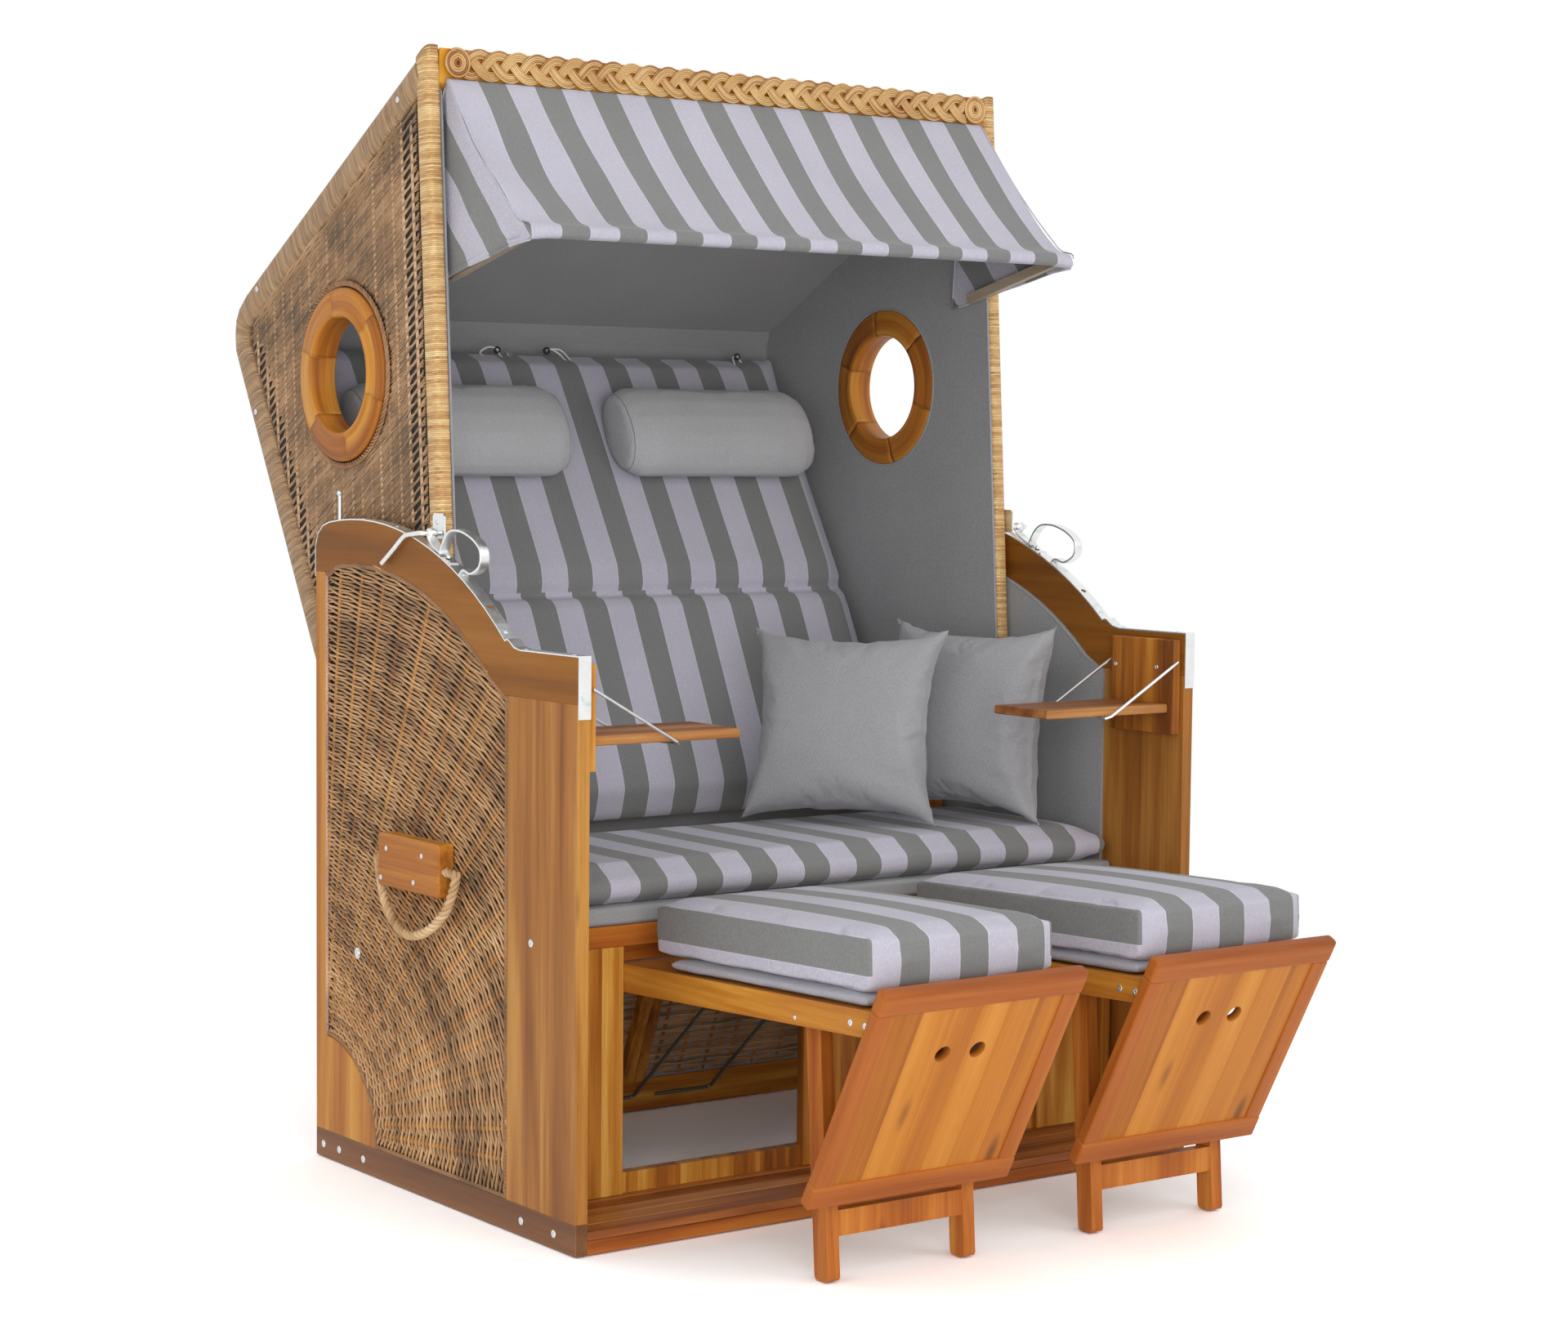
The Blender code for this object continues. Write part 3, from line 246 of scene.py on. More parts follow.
def wood(name, tone, grain="Z", board=None, seed=0.0, uv=False, contrast=1.0, rough=0.42, foot=None):
    """Oiled acacia: bands and fibres along the grain, a knot here and there, and edges made paler as a
    painted highlight.

    board is the axis across the boards, their width and where one starts; foot is a height below which
    the grain lies along Y, and the tone there.
    """
    s = Shade(name, rough=rough, Specular_IOR_Level=0.22)
    x, y, z = s.split(s.where("UV" if uv else "Object"))
    along, a, b = {"X": (x, y, z), "Y": (y, x, z), "Z": (z, x, y)}[grain]
    if foot:
        low = z < foot[0]
        high = 1.0 - low
        along, b = low * y + high * z, low * z + high * y
    if board:
        axis, width, start = board
        number = s.floor(({"X": x, "Y": y, "Z": z}[axis] - start) / width)
        a, along = a + number * 1.37, along + number * 2.11
    spot = s.join(along + seed * 3.1, a + seed * 1.7, b)
    bands = s.noise(spot, (1.1, 21, 21), 2.0, 0.5, 0.5)
    streaks = s.noise(spot, (5, 150, 150), 3.0, 0.6)
    fibres = s.noise(spot, (30, 900, 900))
    fac = (bands - 0.5) * (1.5 * contrast) + (streaks - 0.5) * (0.55 * contrast) + 0.5
    if board:
        fac = fac + (s.chance(number + seed) - 0.5) * 0.34
    tones = [rgb(*c) for c in WOOD_TONES[tone]]
    colour = s.tones(fac, WOOD_STEPS, tones)
    if foot:
        colour = s.mix(low, colour, s.tones(fac, WOOD_STEPS, [rgb(*c) for c in WOOD_TONES[foot[1]]]))
    knot = s.add("TexVoronoi", {"Vector": s.vmath("MULTIPLY", spot, (2.3, 8.0, 8.0)),
                              "Scale": 1.0}, "Distance")
    knot = s.ramp(knot, ((0.03, 1.0), (0.11, 0.0)), "EASE")
    colour = s.mix(knot * 0.75, colour, KNOT_BROWN)
    colour = s.mix(s.ramp(fibres, ((0.30, 1.0), (0.42, 0.0))) * 0.22, colour, tones[0])
    # Painted highlight: edges found by the Bevel node are mixed towards the lightest tone.
    soft_normal = s.add("Bevel", {"Radius": EDGE_HIGHLIGHT_RADIUS}, samples=4)
    edge_highlight = s.vmath("DOT_PRODUCT", soft_normal, s.add("NewGeometry", out="Normal"))
    colour = s.mix(s.ramp(edge_highlight, ((0.80, 1.0), (0.985, 0.0))) * 0.42, colour, tones[-1])
    return s.finish(colour, s.bump(fibres * 0.6 + streaks * 0.4, PORE, 0.5), streaks * 0.16 + (rough - 0.08))


def wicker(name, tones, rough=0.55):
    """Split willow strands: each strand has its own tone, with blotches and fine lines along it."""
    s = Shade(name, rough=rough)
    u, v, _ = s.split(s.where("UV"))
    blotch = s.noise(s.join(u * 18, v * 7.3), 1.0, 3.0, 0.6)
    fine = s.noise(s.join(u * 60, v * 31))
    patch = s.noise(s.where(), 9.0)
    fac = s.chance(s.floor(v)) * 0.40 + blotch * 0.50 + (patch - 0.5) * 0.9
    tones = [rgb(*c) for c in tones]
    colour = s.mix(fine * 0.25, s.tones(fac, (0.16, 0.38, 0.60, 0.86), tones), tones[0])
    return s.finish(colour, s.bump(fine, 0.4 * MM, 0.6))


def wrapped(name, tones, pitch, slant=0.0):
    """Fine cane wound side by side round a bar: UV runs along the bar in metres."""
    s = Shade(name, rough=0.45)
    u, v, _ = s.split(s.where("UV"))
    u = u + v * slant
    turn = u / pitch + s.noise(s.join(u * 40, v * 60), 1.0, 1.0) * 0.7
    number = s.floor(turn)
    wide = s.noise(s.join(u * 26, v * 30), 1.0, 2.0, 0.6)
    along = s.noise(s.join(number, v * 45))
    fac = s.chance(number) * 0.30 + wide * 0.16 + along * 0.62
    tones = [rgb(*c) for c in tones]
    colour = s.tones(fac, (0.24, 0.42, 0.60, 0.82), tones)
    # Painted shade: each turn darkens towards its edges, in the grooves between turns.
    off = abs(s.fraction(turn) - 0.5)
    colour = s.mix(s.ramp(off, ((0.36, 0.0), (0.50, 1.0))) * 0.60, colour, tones[0])
    return s.finish(colour, s.bump(1.0 - s.math("POWER", off * 2.0, 2.0), 0.9 * MM, 0.9))


STRIPE, SEAM_LINE = 48.2 * MM, 0.8 * MM
DARK_CLOTH, LIGHT_CLOTH, PLAIN_CLOTH = rgb(120, 121, 120), rgb(182, 179, 192), rgb(152, 152, 155)
LINING_CLOTH = rgb(147, 147, 148)
NECK_CLOTH, PAD_CLOTH = rgb(176, 176, 178), rgb(160, 158, 166)
PALE_THREAD = rgb(206, 204, 214)


def cloth(name, plain=None, start=0.0, along=None, fold=None, side=None, pitch=STRIPE):
    """Woven cloth, plain or in stripes across X, or across the direction along.

    fold is a height and where the stripes start below it. side gives other stripes for the two ends: the
    direction they change in, where they start, the middle between the ends, and how far off they begin.
    """
    s = Shade(name, rough=0.85, Sheen_Weight=0.18, Sheen_Roughness=0.6, Specular_IOR_Level=0.25)
    place = s.where()
    x, _, z = s.split(place)

    def bands(coordinate, first):
        t = s.fraction((coordinate - first) / (2 * pitch))
        return t < 0.5, abs(s.fraction(t * 2.0) - 0.5) > 0.5 - SEAM_LINE / pitch

    def swapped(share, new, old):
        return [share * a + (1.0 - share) * b for a, b in zip(new, old)]

    if plain:
        colour = plain
    else:
        if along:
            x = s.vmath("DOT_PRODUCT", place, along)
        stripes = bands(x, start)
        if fold:
            stripes = swapped(z < fold[0], bands(x, fold[1]), stripes)
        if side:
            way, first, middle, far = side
            turned = bands(s.vmath("DOT_PRODUCT", place, way), first)
            stripes = swapped(abs(x - middle) > far, turned, stripes)
        colour = s.mix(stripes[1] * 0.6, s.mix(stripes[0], LIGHT_CLOTH, DARK_CLOTH), PALE_THREAD)
    heather = s.noise(place, (420, 420, 900), 2.0, 0.7)
    cross = s.noise(place, (1100, 260, 260), 1.0)
    shade = s.ramp(heather * 0.5 + cross * 0.5, ((0.25, 0.80), (0.75, 1.20)))
    cloud = s.ramp(s.noise(place, 7.0), ((0.2, 0.94), (0.8, 1.06)))
    colour = s.mix(1.0, s.mix(1.0, colour, shade, "MULTIPLY"), cloud, "MULTIPLY")
    return s.finish(colour, s.bump(heather * 0.35 + s.noise(place, 30.0), 1.2 * MM, 0.35))


def metal(name, colour, rough, film=None):
    """Zinc plating: brushed along its length, cloudy, with a pale film in spots."""
    s = Shade(name, rough=rough, metal=1.0)
    place = s.where()
    cloud = s.noise(place, 60.0, 3.0, 0.6)
    tint = s.mix(cloud, colour, tuple(min(1.0, c * 1.25) for c in colour[:3]) + (1.0,))
    if film:
        spots = s.ramp(s.noise(place, 34.0, 3.0, 0.6), ((0.60, 0.0), (0.70, 0.8)))
        tint = s.mix(spots, tint, film)
    brushed = s.noise(place, (900, 160, 160))
    return s.finish(tint, s.bump(brushed, 0.05 * MM, 0.5), cloud * 0.25 + (rough - 0.12))


WICKER_TAN = ((112, 92, 72), (156, 122, 88), (190, 150, 110), (216, 178, 134))
WICKER_BASE = ((120, 90, 62), (176, 134, 90), (206, 160, 110), (228, 188, 138))
# The post's cane is a paler copy of the sides' cane: its light tones are a painted highlight from the light
# on the post's front.
CANE_PAINTED_HIGHLIGHT = ((146, 98, 58), (198, 150, 94), (226, 188, 126), (246, 222, 166))
CANE_SIDE = ((112, 84, 58), (150, 116, 80), (176, 140, 100), (204, 168, 122))
ROPE_YARN = ((120, 86, 54), (182, 144, 100), (212, 176, 130), (232, 204, 160))

FOOT_RAIL = 43.4 * MM          # height of the rail under the box sides
ONE_BOARD = ("Y", 0.5, 0.0)    # wider than any UV patch here: each patch is one board
WOOD = {
    "stile": wood("golden_upright", "golden", "Z", ("X", 47 * MM, 0.0), 1.0),
    "cross": wood("golden_cross", "golden", "X", None, 2.0),
    "beam": wood("orange_cross", "orange", "X", None, 4.0),
    "board": wood("golden_board", "plank", "Z", ("Y", 92 * MM, -DEPTH_SHIFT), 5.0, contrast=0.9),
    "rail": wood("brown_rail", "rail", "Y", None, 6.0, contrast=0.6, rough=0.50),
    "base": wood("base_rail", "golden", "Z", None, 7.0, contrast=0.8, foot=(FOOT_RAIL, "brown")),
    "depth": wood("golden_depth", "golden", "Y", None, 8.0, contrast=0.8),
    "table": wood("table_wood", "table", "X", ("Y", 31 * MM, 0.0), 9.0),
    "fill": wood("panel_fill", "amber", "X", ONE_BOARD, 33.0, uv=True, contrast=0.6),
    "panel": wood("panel_rim", "rim", "X", ONE_BOARD, 21.0, uv=True, contrast=0.7),
    "planks": wood("deck_planks", "deck", "X", ONE_BOARD, 23.0, uv=True),
    "leg": wood("leg_wood", "orange", "Z", None, 10.0, contrast=0.9),
    "ring": wood("ring_wood", "golden", "X", None, 11.0, uv=True, contrast=0.9),
    "honey": wood("honey_strip", "honey", "Z", None, 12.0),
    "arm": wood("awning_arm_wood", "taupe", "Y", None, 14.0, contrast=0.5),
}
ZINC = metal("zinc_plate", (0.74, 0.75, 0.74, 1.0), 0.36, rgb(176, 214, 208))
SCREW = metal("zinc_screw", (0.62, 0.66, 0.68, 1.0), 0.30)
WIRE = metal("dull_wire", (0.16, 0.18, 0.165, 1.0), 0.5)
CREASE_Z = 0.855               # height of the back cushion's crease
CLOTH = {
    "seat": cloth("seat_stripes", start=-0.3562),
    "back": cloth("back_stripes", start=-0.1907, fold=(CREASE_Z, -0.1830)),
    "plain": cloth("plain_grey", PLAIN_CLOTH),
    "lining": cloth("lining_grey", LINING_CLOTH),
    "pad": cloth("pad_lilac", PAD_CLOTH),
    "neck": cloth("neck_grey", NECK_CLOTH),
}

# Geometry helpers


def piece(name, verts, faces, material, body, uv=None, smooth=True):
    """A mesh piece that rides on a body, with one (u, v) pair for each point."""
    mesh = bpy.data.meshes.new(name)
    mesh.from_pydata([tuple(v) for v in verts], [], faces)
    mesh.update()
    if uv is not None:
        ids = [0] * len(mesh.loops)
        mesh.loops.foreach_get("vertex_index", ids)
        mesh.uv_layers.new(name="lay").data.foreach_set("uv", [c for i in ids for c in uv[i]])
    mesh.polygons.foreach_set("use_smooth", [smooth] * len(mesh.polygons))
    obj = bpy.data.objects.new(name, mesh)
    bpy.context.scene.collection.objects.link(obj)
    mesh.materials.append(material)
    if body:
        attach(obj, body)
    return obj


def ring_faces(base, rows, k, closed=False):
    """Faces over rows of k points each, as a tube that closes on itself or has a cap at each end."""
    faces = []
    for i in range(rows if closed else rows - 1):
        m = (i + 1) % rows
        for j in range(k):
            q = (j + 1) % k
            faces.append((base + i * k + j, base + i * k + q, base + m * k + q, base + m * k + j))
    if not closed:
        faces.append(tuple(base + j for j in reversed(range(k))))
        faces.append(tuple(base + (rows - 1) * k + j for j in range(k)))
    return faces


def circle(n, turns=1.0):
    return [math.tau * turns * i / n for i in range(n)]


def marks_along(points, closed=False):
    """How far along a line each of its points is, and at the end its whole length."""
    marks = [0.0]
    for a, b in zip(points, points[1:] + (points[:1] if closed else [])):
        marks.append(marks[-1] + (b - a).length)
    return marks


class Tubes:
    """Many round or flat strands gathered into one mesh."""

    def __init__(self, sides=6):
        self.sides, self.verts, self.faces, self.uv, self.count = sides, [], [], [], 0

    def run(self, path, r, out=None, flat=1.0, closed=False, tone=None):
        """Adds a strand: out is the way its flat side faces, and flat its thickness share that way."""
        pts = [Vector(p) for p in path]
        n, base = len(pts), len(self.verts)
        tone = self.count if tone is None else tone
        self.count += 1
        normal, length = out, 0.0
        for i, p in enumerate(pts):
            if closed:
                t = (pts[(i + 1) % n] - pts[i - 1]).normalized()
            else:
                t = (pts[min(i + 1, n - 1)] - pts[max(i - 1, 0)]).normalized()
            if normal is None:
                normal = t.orthogonal()
            normal = normal - t * normal.dot(t)
            normal = normal.normalized() if normal.length > 1e-9 else t.orthogonal().normalized()
            side = t.cross(normal)
            length += (p - pts[i - 1]).length if i else 0.0
            thin = r if closed or 0 < i < n - 1 else r * 0.55
            for a in circle(self.sides):
                self.verts.append(p + normal * (math.cos(a) * thin * flat) + side * (math.sin(a) * thin))
                self.uv.append((length, tone + 0.2 + 0.6 * (0.5 + 0.5 * math.cos(a))))
            if out is not None:
                normal = out
        self.faces += ring_faces(base, n, self.sides, closed)

    def done(self, name, material, body):
        return piece(name, self.verts, self.faces, material, body, self.uv)


def normals_out(obj):
    bm = bmesh.new()
    bm.from_mesh(obj.data)
    bmesh.ops.recalc_face_normals(bm, faces=bm.faces)
    bm.to_mesh(obj.data)
    bm.free()
    return obj


def inside(polygon, y, z):
    hit = False
    for (y0, z0), (y1, z1) in zip(polygon, polygon[1:] + polygon[:1]):
        if (z0 > z) != (z1 > z) and y < (y1 - y0) * (z - z0) / (z1 - z0) + y0:
            hit = not hit
    return hit


def arc(centre, r, a0, a1, n):
    """Depth and height points at angle a, in degrees forward of straight up."""
    turns = [math.radians(a0 + (a1 - a0) * i / n) for i in range(n + 1)]
    return [(centre[0] - r * math.sin(a), centre[1] + r * math.cos(a)) for a in turns]


def rounded(points, step, closed=False):
    """A smooth run of points through the given ones."""
    out, count = [], len(points)
    for i in range(count if closed else count - 1):
        if closed:
            p0, p1, p2, p3 = (points[(i + k) % count] for k in (-1, 0, 1, 2))
        else:
            p0, p1, p2, p3 = (points[min(max(i + k, 0), count - 1)] for k in (-1, 0, 1, 2))
        n = max(2, int((p2 - p1).length / step))
        for k in range(n):
            t = k / n
            out.append(0.5 * ((2 * p1) + (p2 - p0) * t + (2 * p0 - 5 * p1 + 4 * p2 - p3) * t * t
                              + (3 * p1 - p0 - 3 * p2 + p3) * t ** 3))
    return out if closed else out + [points[-1]]


def slab(name, outline, x0, x1, material, body, holes=()):
    """A flat sheet cut to a (depth, height) outline, from x0 to x1, with round holes."""
    bm = bmesh.new()
    edges = []
    for loop in [outline, *holes]:
        ring = [bm.verts.new(at(x0, y, z)) for y, z in loop]
        edges += [bm.edges.new((a, b)) for a, b in zip(ring, ring[1:] + ring[:1])]
    bmesh.ops.triangle_fill(bm, use_beauty=True, use_dissolve=False, edges=edges)
    grown = bmesh.ops.extrude_face_region(bm, geom=bm.faces[:])
    tops = [g for g in grown["geom"] if isinstance(g, bmesh.types.BMVert)]
    bmesh.ops.translate(bm, vec=(x1 - x0, 0, 0), verts=tops)
    bmesh.ops.recalc_face_normals(bm, faces=bm.faces)
    bm.verts.index_update()
    verts = [v.co.copy() for v in bm.verts]
    faces = [[v.index for v in f.verts] for f in bm.faces]
    bm.free()
    return piece(name, verts, faces, material, body, smooth=False)


def skin(node, material, bevel=0.0):
    """Gives a CAD node its finish, and softens its edges."""
    obj = NODES[node]
    obj.data.materials.clear()
    obj.data.materials.append(material)
    if bevel:
        weld = obj.modifiers.new("weld", "WELD")
        weld.merge_threshold = 0.02 * MM
        soft = obj.modifiers.new("soft_edges", "BEVEL")
        soft.width, soft.segments, soft.limit_method = bevel, 2, "ANGLE"
        soft.angle_limit, soft.harden_normals = math.radians(35), False


# Studio

FLOOR_HALF, FLOOR_DROP = 14.0, 2 * MM
FLOOR_TONE, FLOOR_SEEN, AIR_TONE = 0.90, 1.45, 0.84
LAMPS = (("key_lamp", (1.6, -4.2, 3.6), (0, 0, 0.8), 2.6, 26),
         ("front_lamp", (-2.3, -4.0, 1.0), (0, 0.3, 1.0), 2.6, 92),
         ("side_lamp", (-4.4, -1.2, 2.4), (0, 0, 0.8), 2.4, 14))


def studio():
    """A pale floor and air, whiter where they are seen than where they light, and three soft lamps."""
    scene = bpy.context.scene
    scene.view_settings.view_transform = "Standard"
    scene.world = bpy.data.worlds.new("studio_air")
    scene.world.use_nodes = True
    tree = scene.world.node_tree
    rays = tree.nodes.new("ShaderNodeLightPath").outputs
    seen = rays["Is Camera Ray"]
    for kind in ("Is Transmission Ray", "Is Glossy Ray"):
        either = tree.nodes.new("ShaderNodeMath")
        either.operation = "MAXIMUM"
        tree.links.new(seen, either.inputs[0])
        tree.links.new(rays[kind], either.inputs[1])
        seen = either.outputs[0]
    power = tree.nodes.new("ShaderNodeMapRange")
    tree.links.new(seen, power.inputs["Value"])
    power.inputs["To Min"].default_value, power.inputs["To Max"].default_value = AIR_TONE, 1.0
    tree.links.new(power.outputs[0], tree.nodes["Background"].inputs["Strength"])
    tree.nodes["Background"].inputs["Color"].default_value = (1.0, 1.0, 1.0, 1.0)

    floor = bpy.data.objects.new("studio_floor", bpy.data.meshes.new("studio_floor"))
    corners = [(x * FLOOR_HALF, y * FLOOR_HALF, -FLOOR_DROP) for x, y in ((-1, -1), (1, -1), (1, 1), (-1, 1))]
    floor.data.from_pydata(corners, [], [(0, 1, 2, 3)])
    scene.collection.objects.link(floor)
    s = Shade("floor_paint", rough=0.9, Specular_IOR_Level=0.0)
    seen = s.add("LightPath", out="Is Camera Ray")
    for kind in ("Is Glossy Ray", "Is Transmission Ray"):
        seen = s.math("MAXIMUM", seen, s.add("LightPath", out=kind))
    reach = s.vmath("LENGTH", s.vmath("SUBTRACT", s.where(), (0.0, 0.1, 0.0)))
    far = s.ramp(reach / 10.0, ((0.09, 0.0), (0.17, 1.0)), "EASE")
    s.finish(s.mix(seen, (*[FLOOR_TONE] * 3, 1.0), (*[FLOOR_SEEN] * 3, 1.0)))
    white = s.add("Emission", {"Color": (1.0, 1.0, 1.0, 1.0), "Strength": 1.0})
    blend = s.add("MixShader", {0: far * seen, 1: Wire(s, s.bsdf.outputs[0]), 2: white})
    s.put(s.tree.nodes["Material Output"].inputs["Surface"], blend)
    floor.data.materials.append(s.mat)
    for name, place, aim, size, watts in LAMPS:
        data = bpy.data.lights.new(name, "AREA")
        data.shape, data.size, data.size_y, data.energy = "RECTANGLE", size, size, watts
        obj = bpy.data.objects.new(name, data)
        scene.collection.objects.link(obj)
        obj.location = place
        obj.rotation_euler = (Vector(aim) - Vector(place)).to_track_quat("-Z", "Y").to_euler()


studio()

# Cords: the carrying ropes

ROPE_R, STRAND_R, ROPE_LAY = 7.3 * MM, 3.577 * MM, 31 * MM
ROPE_X, ROPE_Z, ROPE_LOW = 0.573, 0.486, 0.386
BORE_FRONT, BORE_BACK, ROPE_FRONT, ROPE_BACK = 0.322, 0.510, 0.300, 0.523
ROPE_PROUD, ROPE_DROP, ROPE_STEP, HANG = 12 * MM, 6 * MM, 2.2 * MM, 14


@both
def carry_rope(s, word):
    """Three-strand rope: through the block's bore, then hanging below it in one loop."""
    route = [at(s * ROPE_X, BORE_FRONT, ROPE_Z), at(s * ROPE_X, BORE_BACK, ROPE_Z)]
    for i in range(HANG + 1):
        t = i / HANG
        swing = math.sin(math.pi * t)
        route.append(at(s * (ROPE_X + ROPE_PROUD * swing), ROPE_BACK + (ROPE_FRONT - ROPE_BACK) * t,
                        ROPE_Z - ROPE_DROP - (ROPE_Z - ROPE_DROP - ROPE_LOW) * swing ** 0.55))
    fine = rounded(route, ROPE_STEP, closed=True)
    marks = marks_along(fine, closed=True)
    gone = marks[-1]
    turns = round(gone / ROPE_LAY)
    tubes = Tubes(8)
    for strand in range(3):
        path = []
        for i, p in enumerate(fine):
            t = (fine[(i + 1) % len(fine)] - fine[i - 1]).normalized()
            outward = Vector((1, 0, 0))
            outward = (outward - t * outward.dot(t)).normalized()
            a = math.tau * (strand / 3 + turns * marks[i] / gone)
            path.append(p + (outward * math.cos(a) + t.cross(outward) * math.sin(a)) * (ROPE_R - STRAND_R))
        tubes.run(path, STRAND_R, closed=True, tone=strand * 3)
    rope = tubes.done(f"carry_rope_lay_{word}", wicker(f"rope_yarn_{word}", ROPE_YARN, 0.9), "base")
    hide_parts(f"carry_rope_{word}")
    tuple(fine[0])
    [tuple(p) for p in fine + fine[:1]]


# Elastic loops that hold the neck rolls to hooks at the top of the back

ELASTIC = {"left": ((-0.0945, 0.894, 1.1974), (-0.1181, 0.918, 1.2420), (-0.0852, 0.921, 1.2490),
                    (-0.0843, 0.894, 1.1976)),
           "right": ((0.0460, 0.884, 1.1810), (0.0480, 0.917, 1.2440), (0.0115, 0.922, 1.2500),
                     (0.0370, 0.918, 1.2430), (0.0440, 0.884, 1.1830)),
           "far": ((0.3980, 0.890, 1.1850), (0.3900, 0.915, 1.2300), (0.4047, 0.922, 1.2500),
                   (0.4130, 0.905, 1.2200), (0.4110, 0.885, 1.1830))}
ELASTIC_R, PROUD, BACK_TOP = 1.6 * MM, 3.0 * MM, 1.2415
TREES = {}


def elastic_yarn():
    s = Shade("white_elastic", rough=0.6)
    u, v, _ = s.split(s.where("UV"))
    wave = s.math("SINE", u * 4200 + v * 9)
    return s.finish(s.mix(wave * 0.12, rgb(232, 230, 224), rgb(196, 196, 190)), s.bump(wave, 0.2 * MM, 0.6))


def on_face(node, start, way):
    """The point where a line first meets a CAD node, and the way its face looks there."""
    if node not in TREES:
        mesh = NODES[node].data
        faces = [tuple(p.vertices) for p in mesh.polygons]
        TREES[node] = BVHTree.FromPolygons([v.co for v in mesh.vertices], faces)
    return TREES[node].ray_cast(Vector(start), Vector(way))[:2]


def on_back(x, y, z):
    """A place on the front of the back cushion at this width and height."""
    spot = on_face("back_cushion", (x, -1.0, min(z, BACK_TOP)), (0, 1, 0))[0]
    return Vector((x, spot.y - PROUD, z + PROUD * 0.5)) if spot else at(x, y - PROUD, z + PROUD * 0.5)


WHITE_YARN = elastic_yarn()
for word in ELASTIC:
    run = rounded([on_back(*p) for p in rounded([Vector(p) for p in ELASTIC[word]], 12 * MM)], 3 * MM)
    loop = Tubes(8)
    loop.run(run, ELASTIC_R)
    string = loop.done(f"neck_elastic_{word}", WHITE_YARN, "hood")
    tuple(run[0])
    marks_along(run)[-1]
    [tuple(p) for p in run]

# Wood and steel that keep their CAD shape

SIDE_SKINS = (("top_rail", "rail", 0.9), ("side_frame", "base", 1.2), ("front_board", "board", 1.0),
              ("carry_block", "depth", 0.6), ("table_bracket", "stile", 0.5), ("table_leaf", "table", 0.5),
              ("footrest_frame", "depth", 0.8), ("footrest_legs", "leg", 0.8), ("hood_frame", "depth", 0.0),
              ("porthole_ring", "ring", 0.0))
SIDE_METAL = (("strip", ZINC), ("latch", ZINC), ("table_stay", SCREW), ("stop_pin", SCREW))
for s, word in SIDES:
    for node, key, edge in SIDE_SKINS:
        skin(f"{node}_{word}", WOOD[key], edge * MM)
    for node, material in SIDE_METAL:
        skin(f"{node}_{word}", material)
for node, key in (("plinth", "beam"), ("front_frame", "stile"), ("apron", "beam"),
                  ("rear_rail", "cross"), ("rear_frame", "stile"), ("hood_front_rail", "honey")):
    skin(node, WOOD[key], 0.9 * MM)
skin("seat_brace", WIRE)
skin("seat_board", CLOTH["lining"], 2 * MM)
skin("awning_frame", WOOD["arm"], 3 * MM)

# Shapes shared by the woven parts, as the CAD has them

PIVOT = (0.612, 0.330)
ARC_IN = 0.584
SEAM = 0.3 * MM
CORNER_Y, CORNER_Z, SILL_Z = 0.560, 0.190, 0.043
POST_Y = 0.714
RAIL_LOW = 0.898
HOOD_TOP, POST_TOP_Y, POST_LEAN, POST_W = 1.665, 0.461, 0.065, 36 * MM
ROOF_SLOPE, ROOF_BAND = 0.585, 47 * MM
REAR_CORNER, REAR_SLOPE, REAR_BAND, REAR_KNEE = (1.0785, 1.236), 0.568, 45 * MM, 0.756
HOOD_IN, HOOD_HALF = 0.508, 0.5315
PORTHOLE, PORT_R, PORT_TUBE_R, PORT_FLANGE_R = (0.711, 1.195), 87.5 * MM, 100.5 * MM, 131 * MM


def post_y(z):
    return POST_TOP_Y - (HOOD_TOP - z) * POST_LEAN


def roof_z(y):
    return HOOD_TOP - (y - POST_TOP_Y) * ROOF_SLOPE


def rear_y(z):
    knee = REAR_CORNER[0] - (REAR_CORNER[1] - REAR_KNEE) * REAR_SLOPE
    if z < REAR_KNEE:
        return knee - (REAR_KNEE - z) * 0.396
    return REAR_CORNER[0] - (REAR_CORNER[1] - z) * REAR_SLOPE


def corner(back, up):
    """The quarter curve at the lower rear of the side weave, moved in from the wood."""
    turns = [math.radians(6 * i) for i in range(16)]
    return [(POST_Y - back - (POST_Y - CORNER_Y) * math.sin(t),
             CORNER_Z + up - (CORNER_Z - SILL_Z) * (1 - math.cos(t)))
            for t in turns]


FILL_FRONT, FILL_TOP = 0.1813, 0.7477
SIDE_FILL = [(FILL_FRONT, 0.0433)] + corner(2 * SEAM, 1.5 * SEAM)[::-1]
SIDE_FILL += [(POST_Y - 2 * SEAM, RAIL_LOW - SEAM), (0.700, RAIL_LOW - SEAM)]
SIDE_FILL += arc(PIVOT, ARC_IN - SEAM, -6.5, 41.5, 14)
SIDE_FILL += [(0.206, 0.7567), (0.1905, FILL_TOP), (FILL_FRONT, FILL_TOP)]

HOOD_FILL = [(post_y(0.69) + POST_W, 0.694), (0.497, roof_z(0.497) - 0.0545), (1.020, roof_z(1.020) - 0.0545),
             (1.030, 1.252), (rear_y(REAR_KNEE) - REAR_BAND, REAR_KNEE), (rear_y(0.62) - REAR_BAND, 0.62),
             (0.610, 0.592)]


STAKE_R = 4.2 * MM


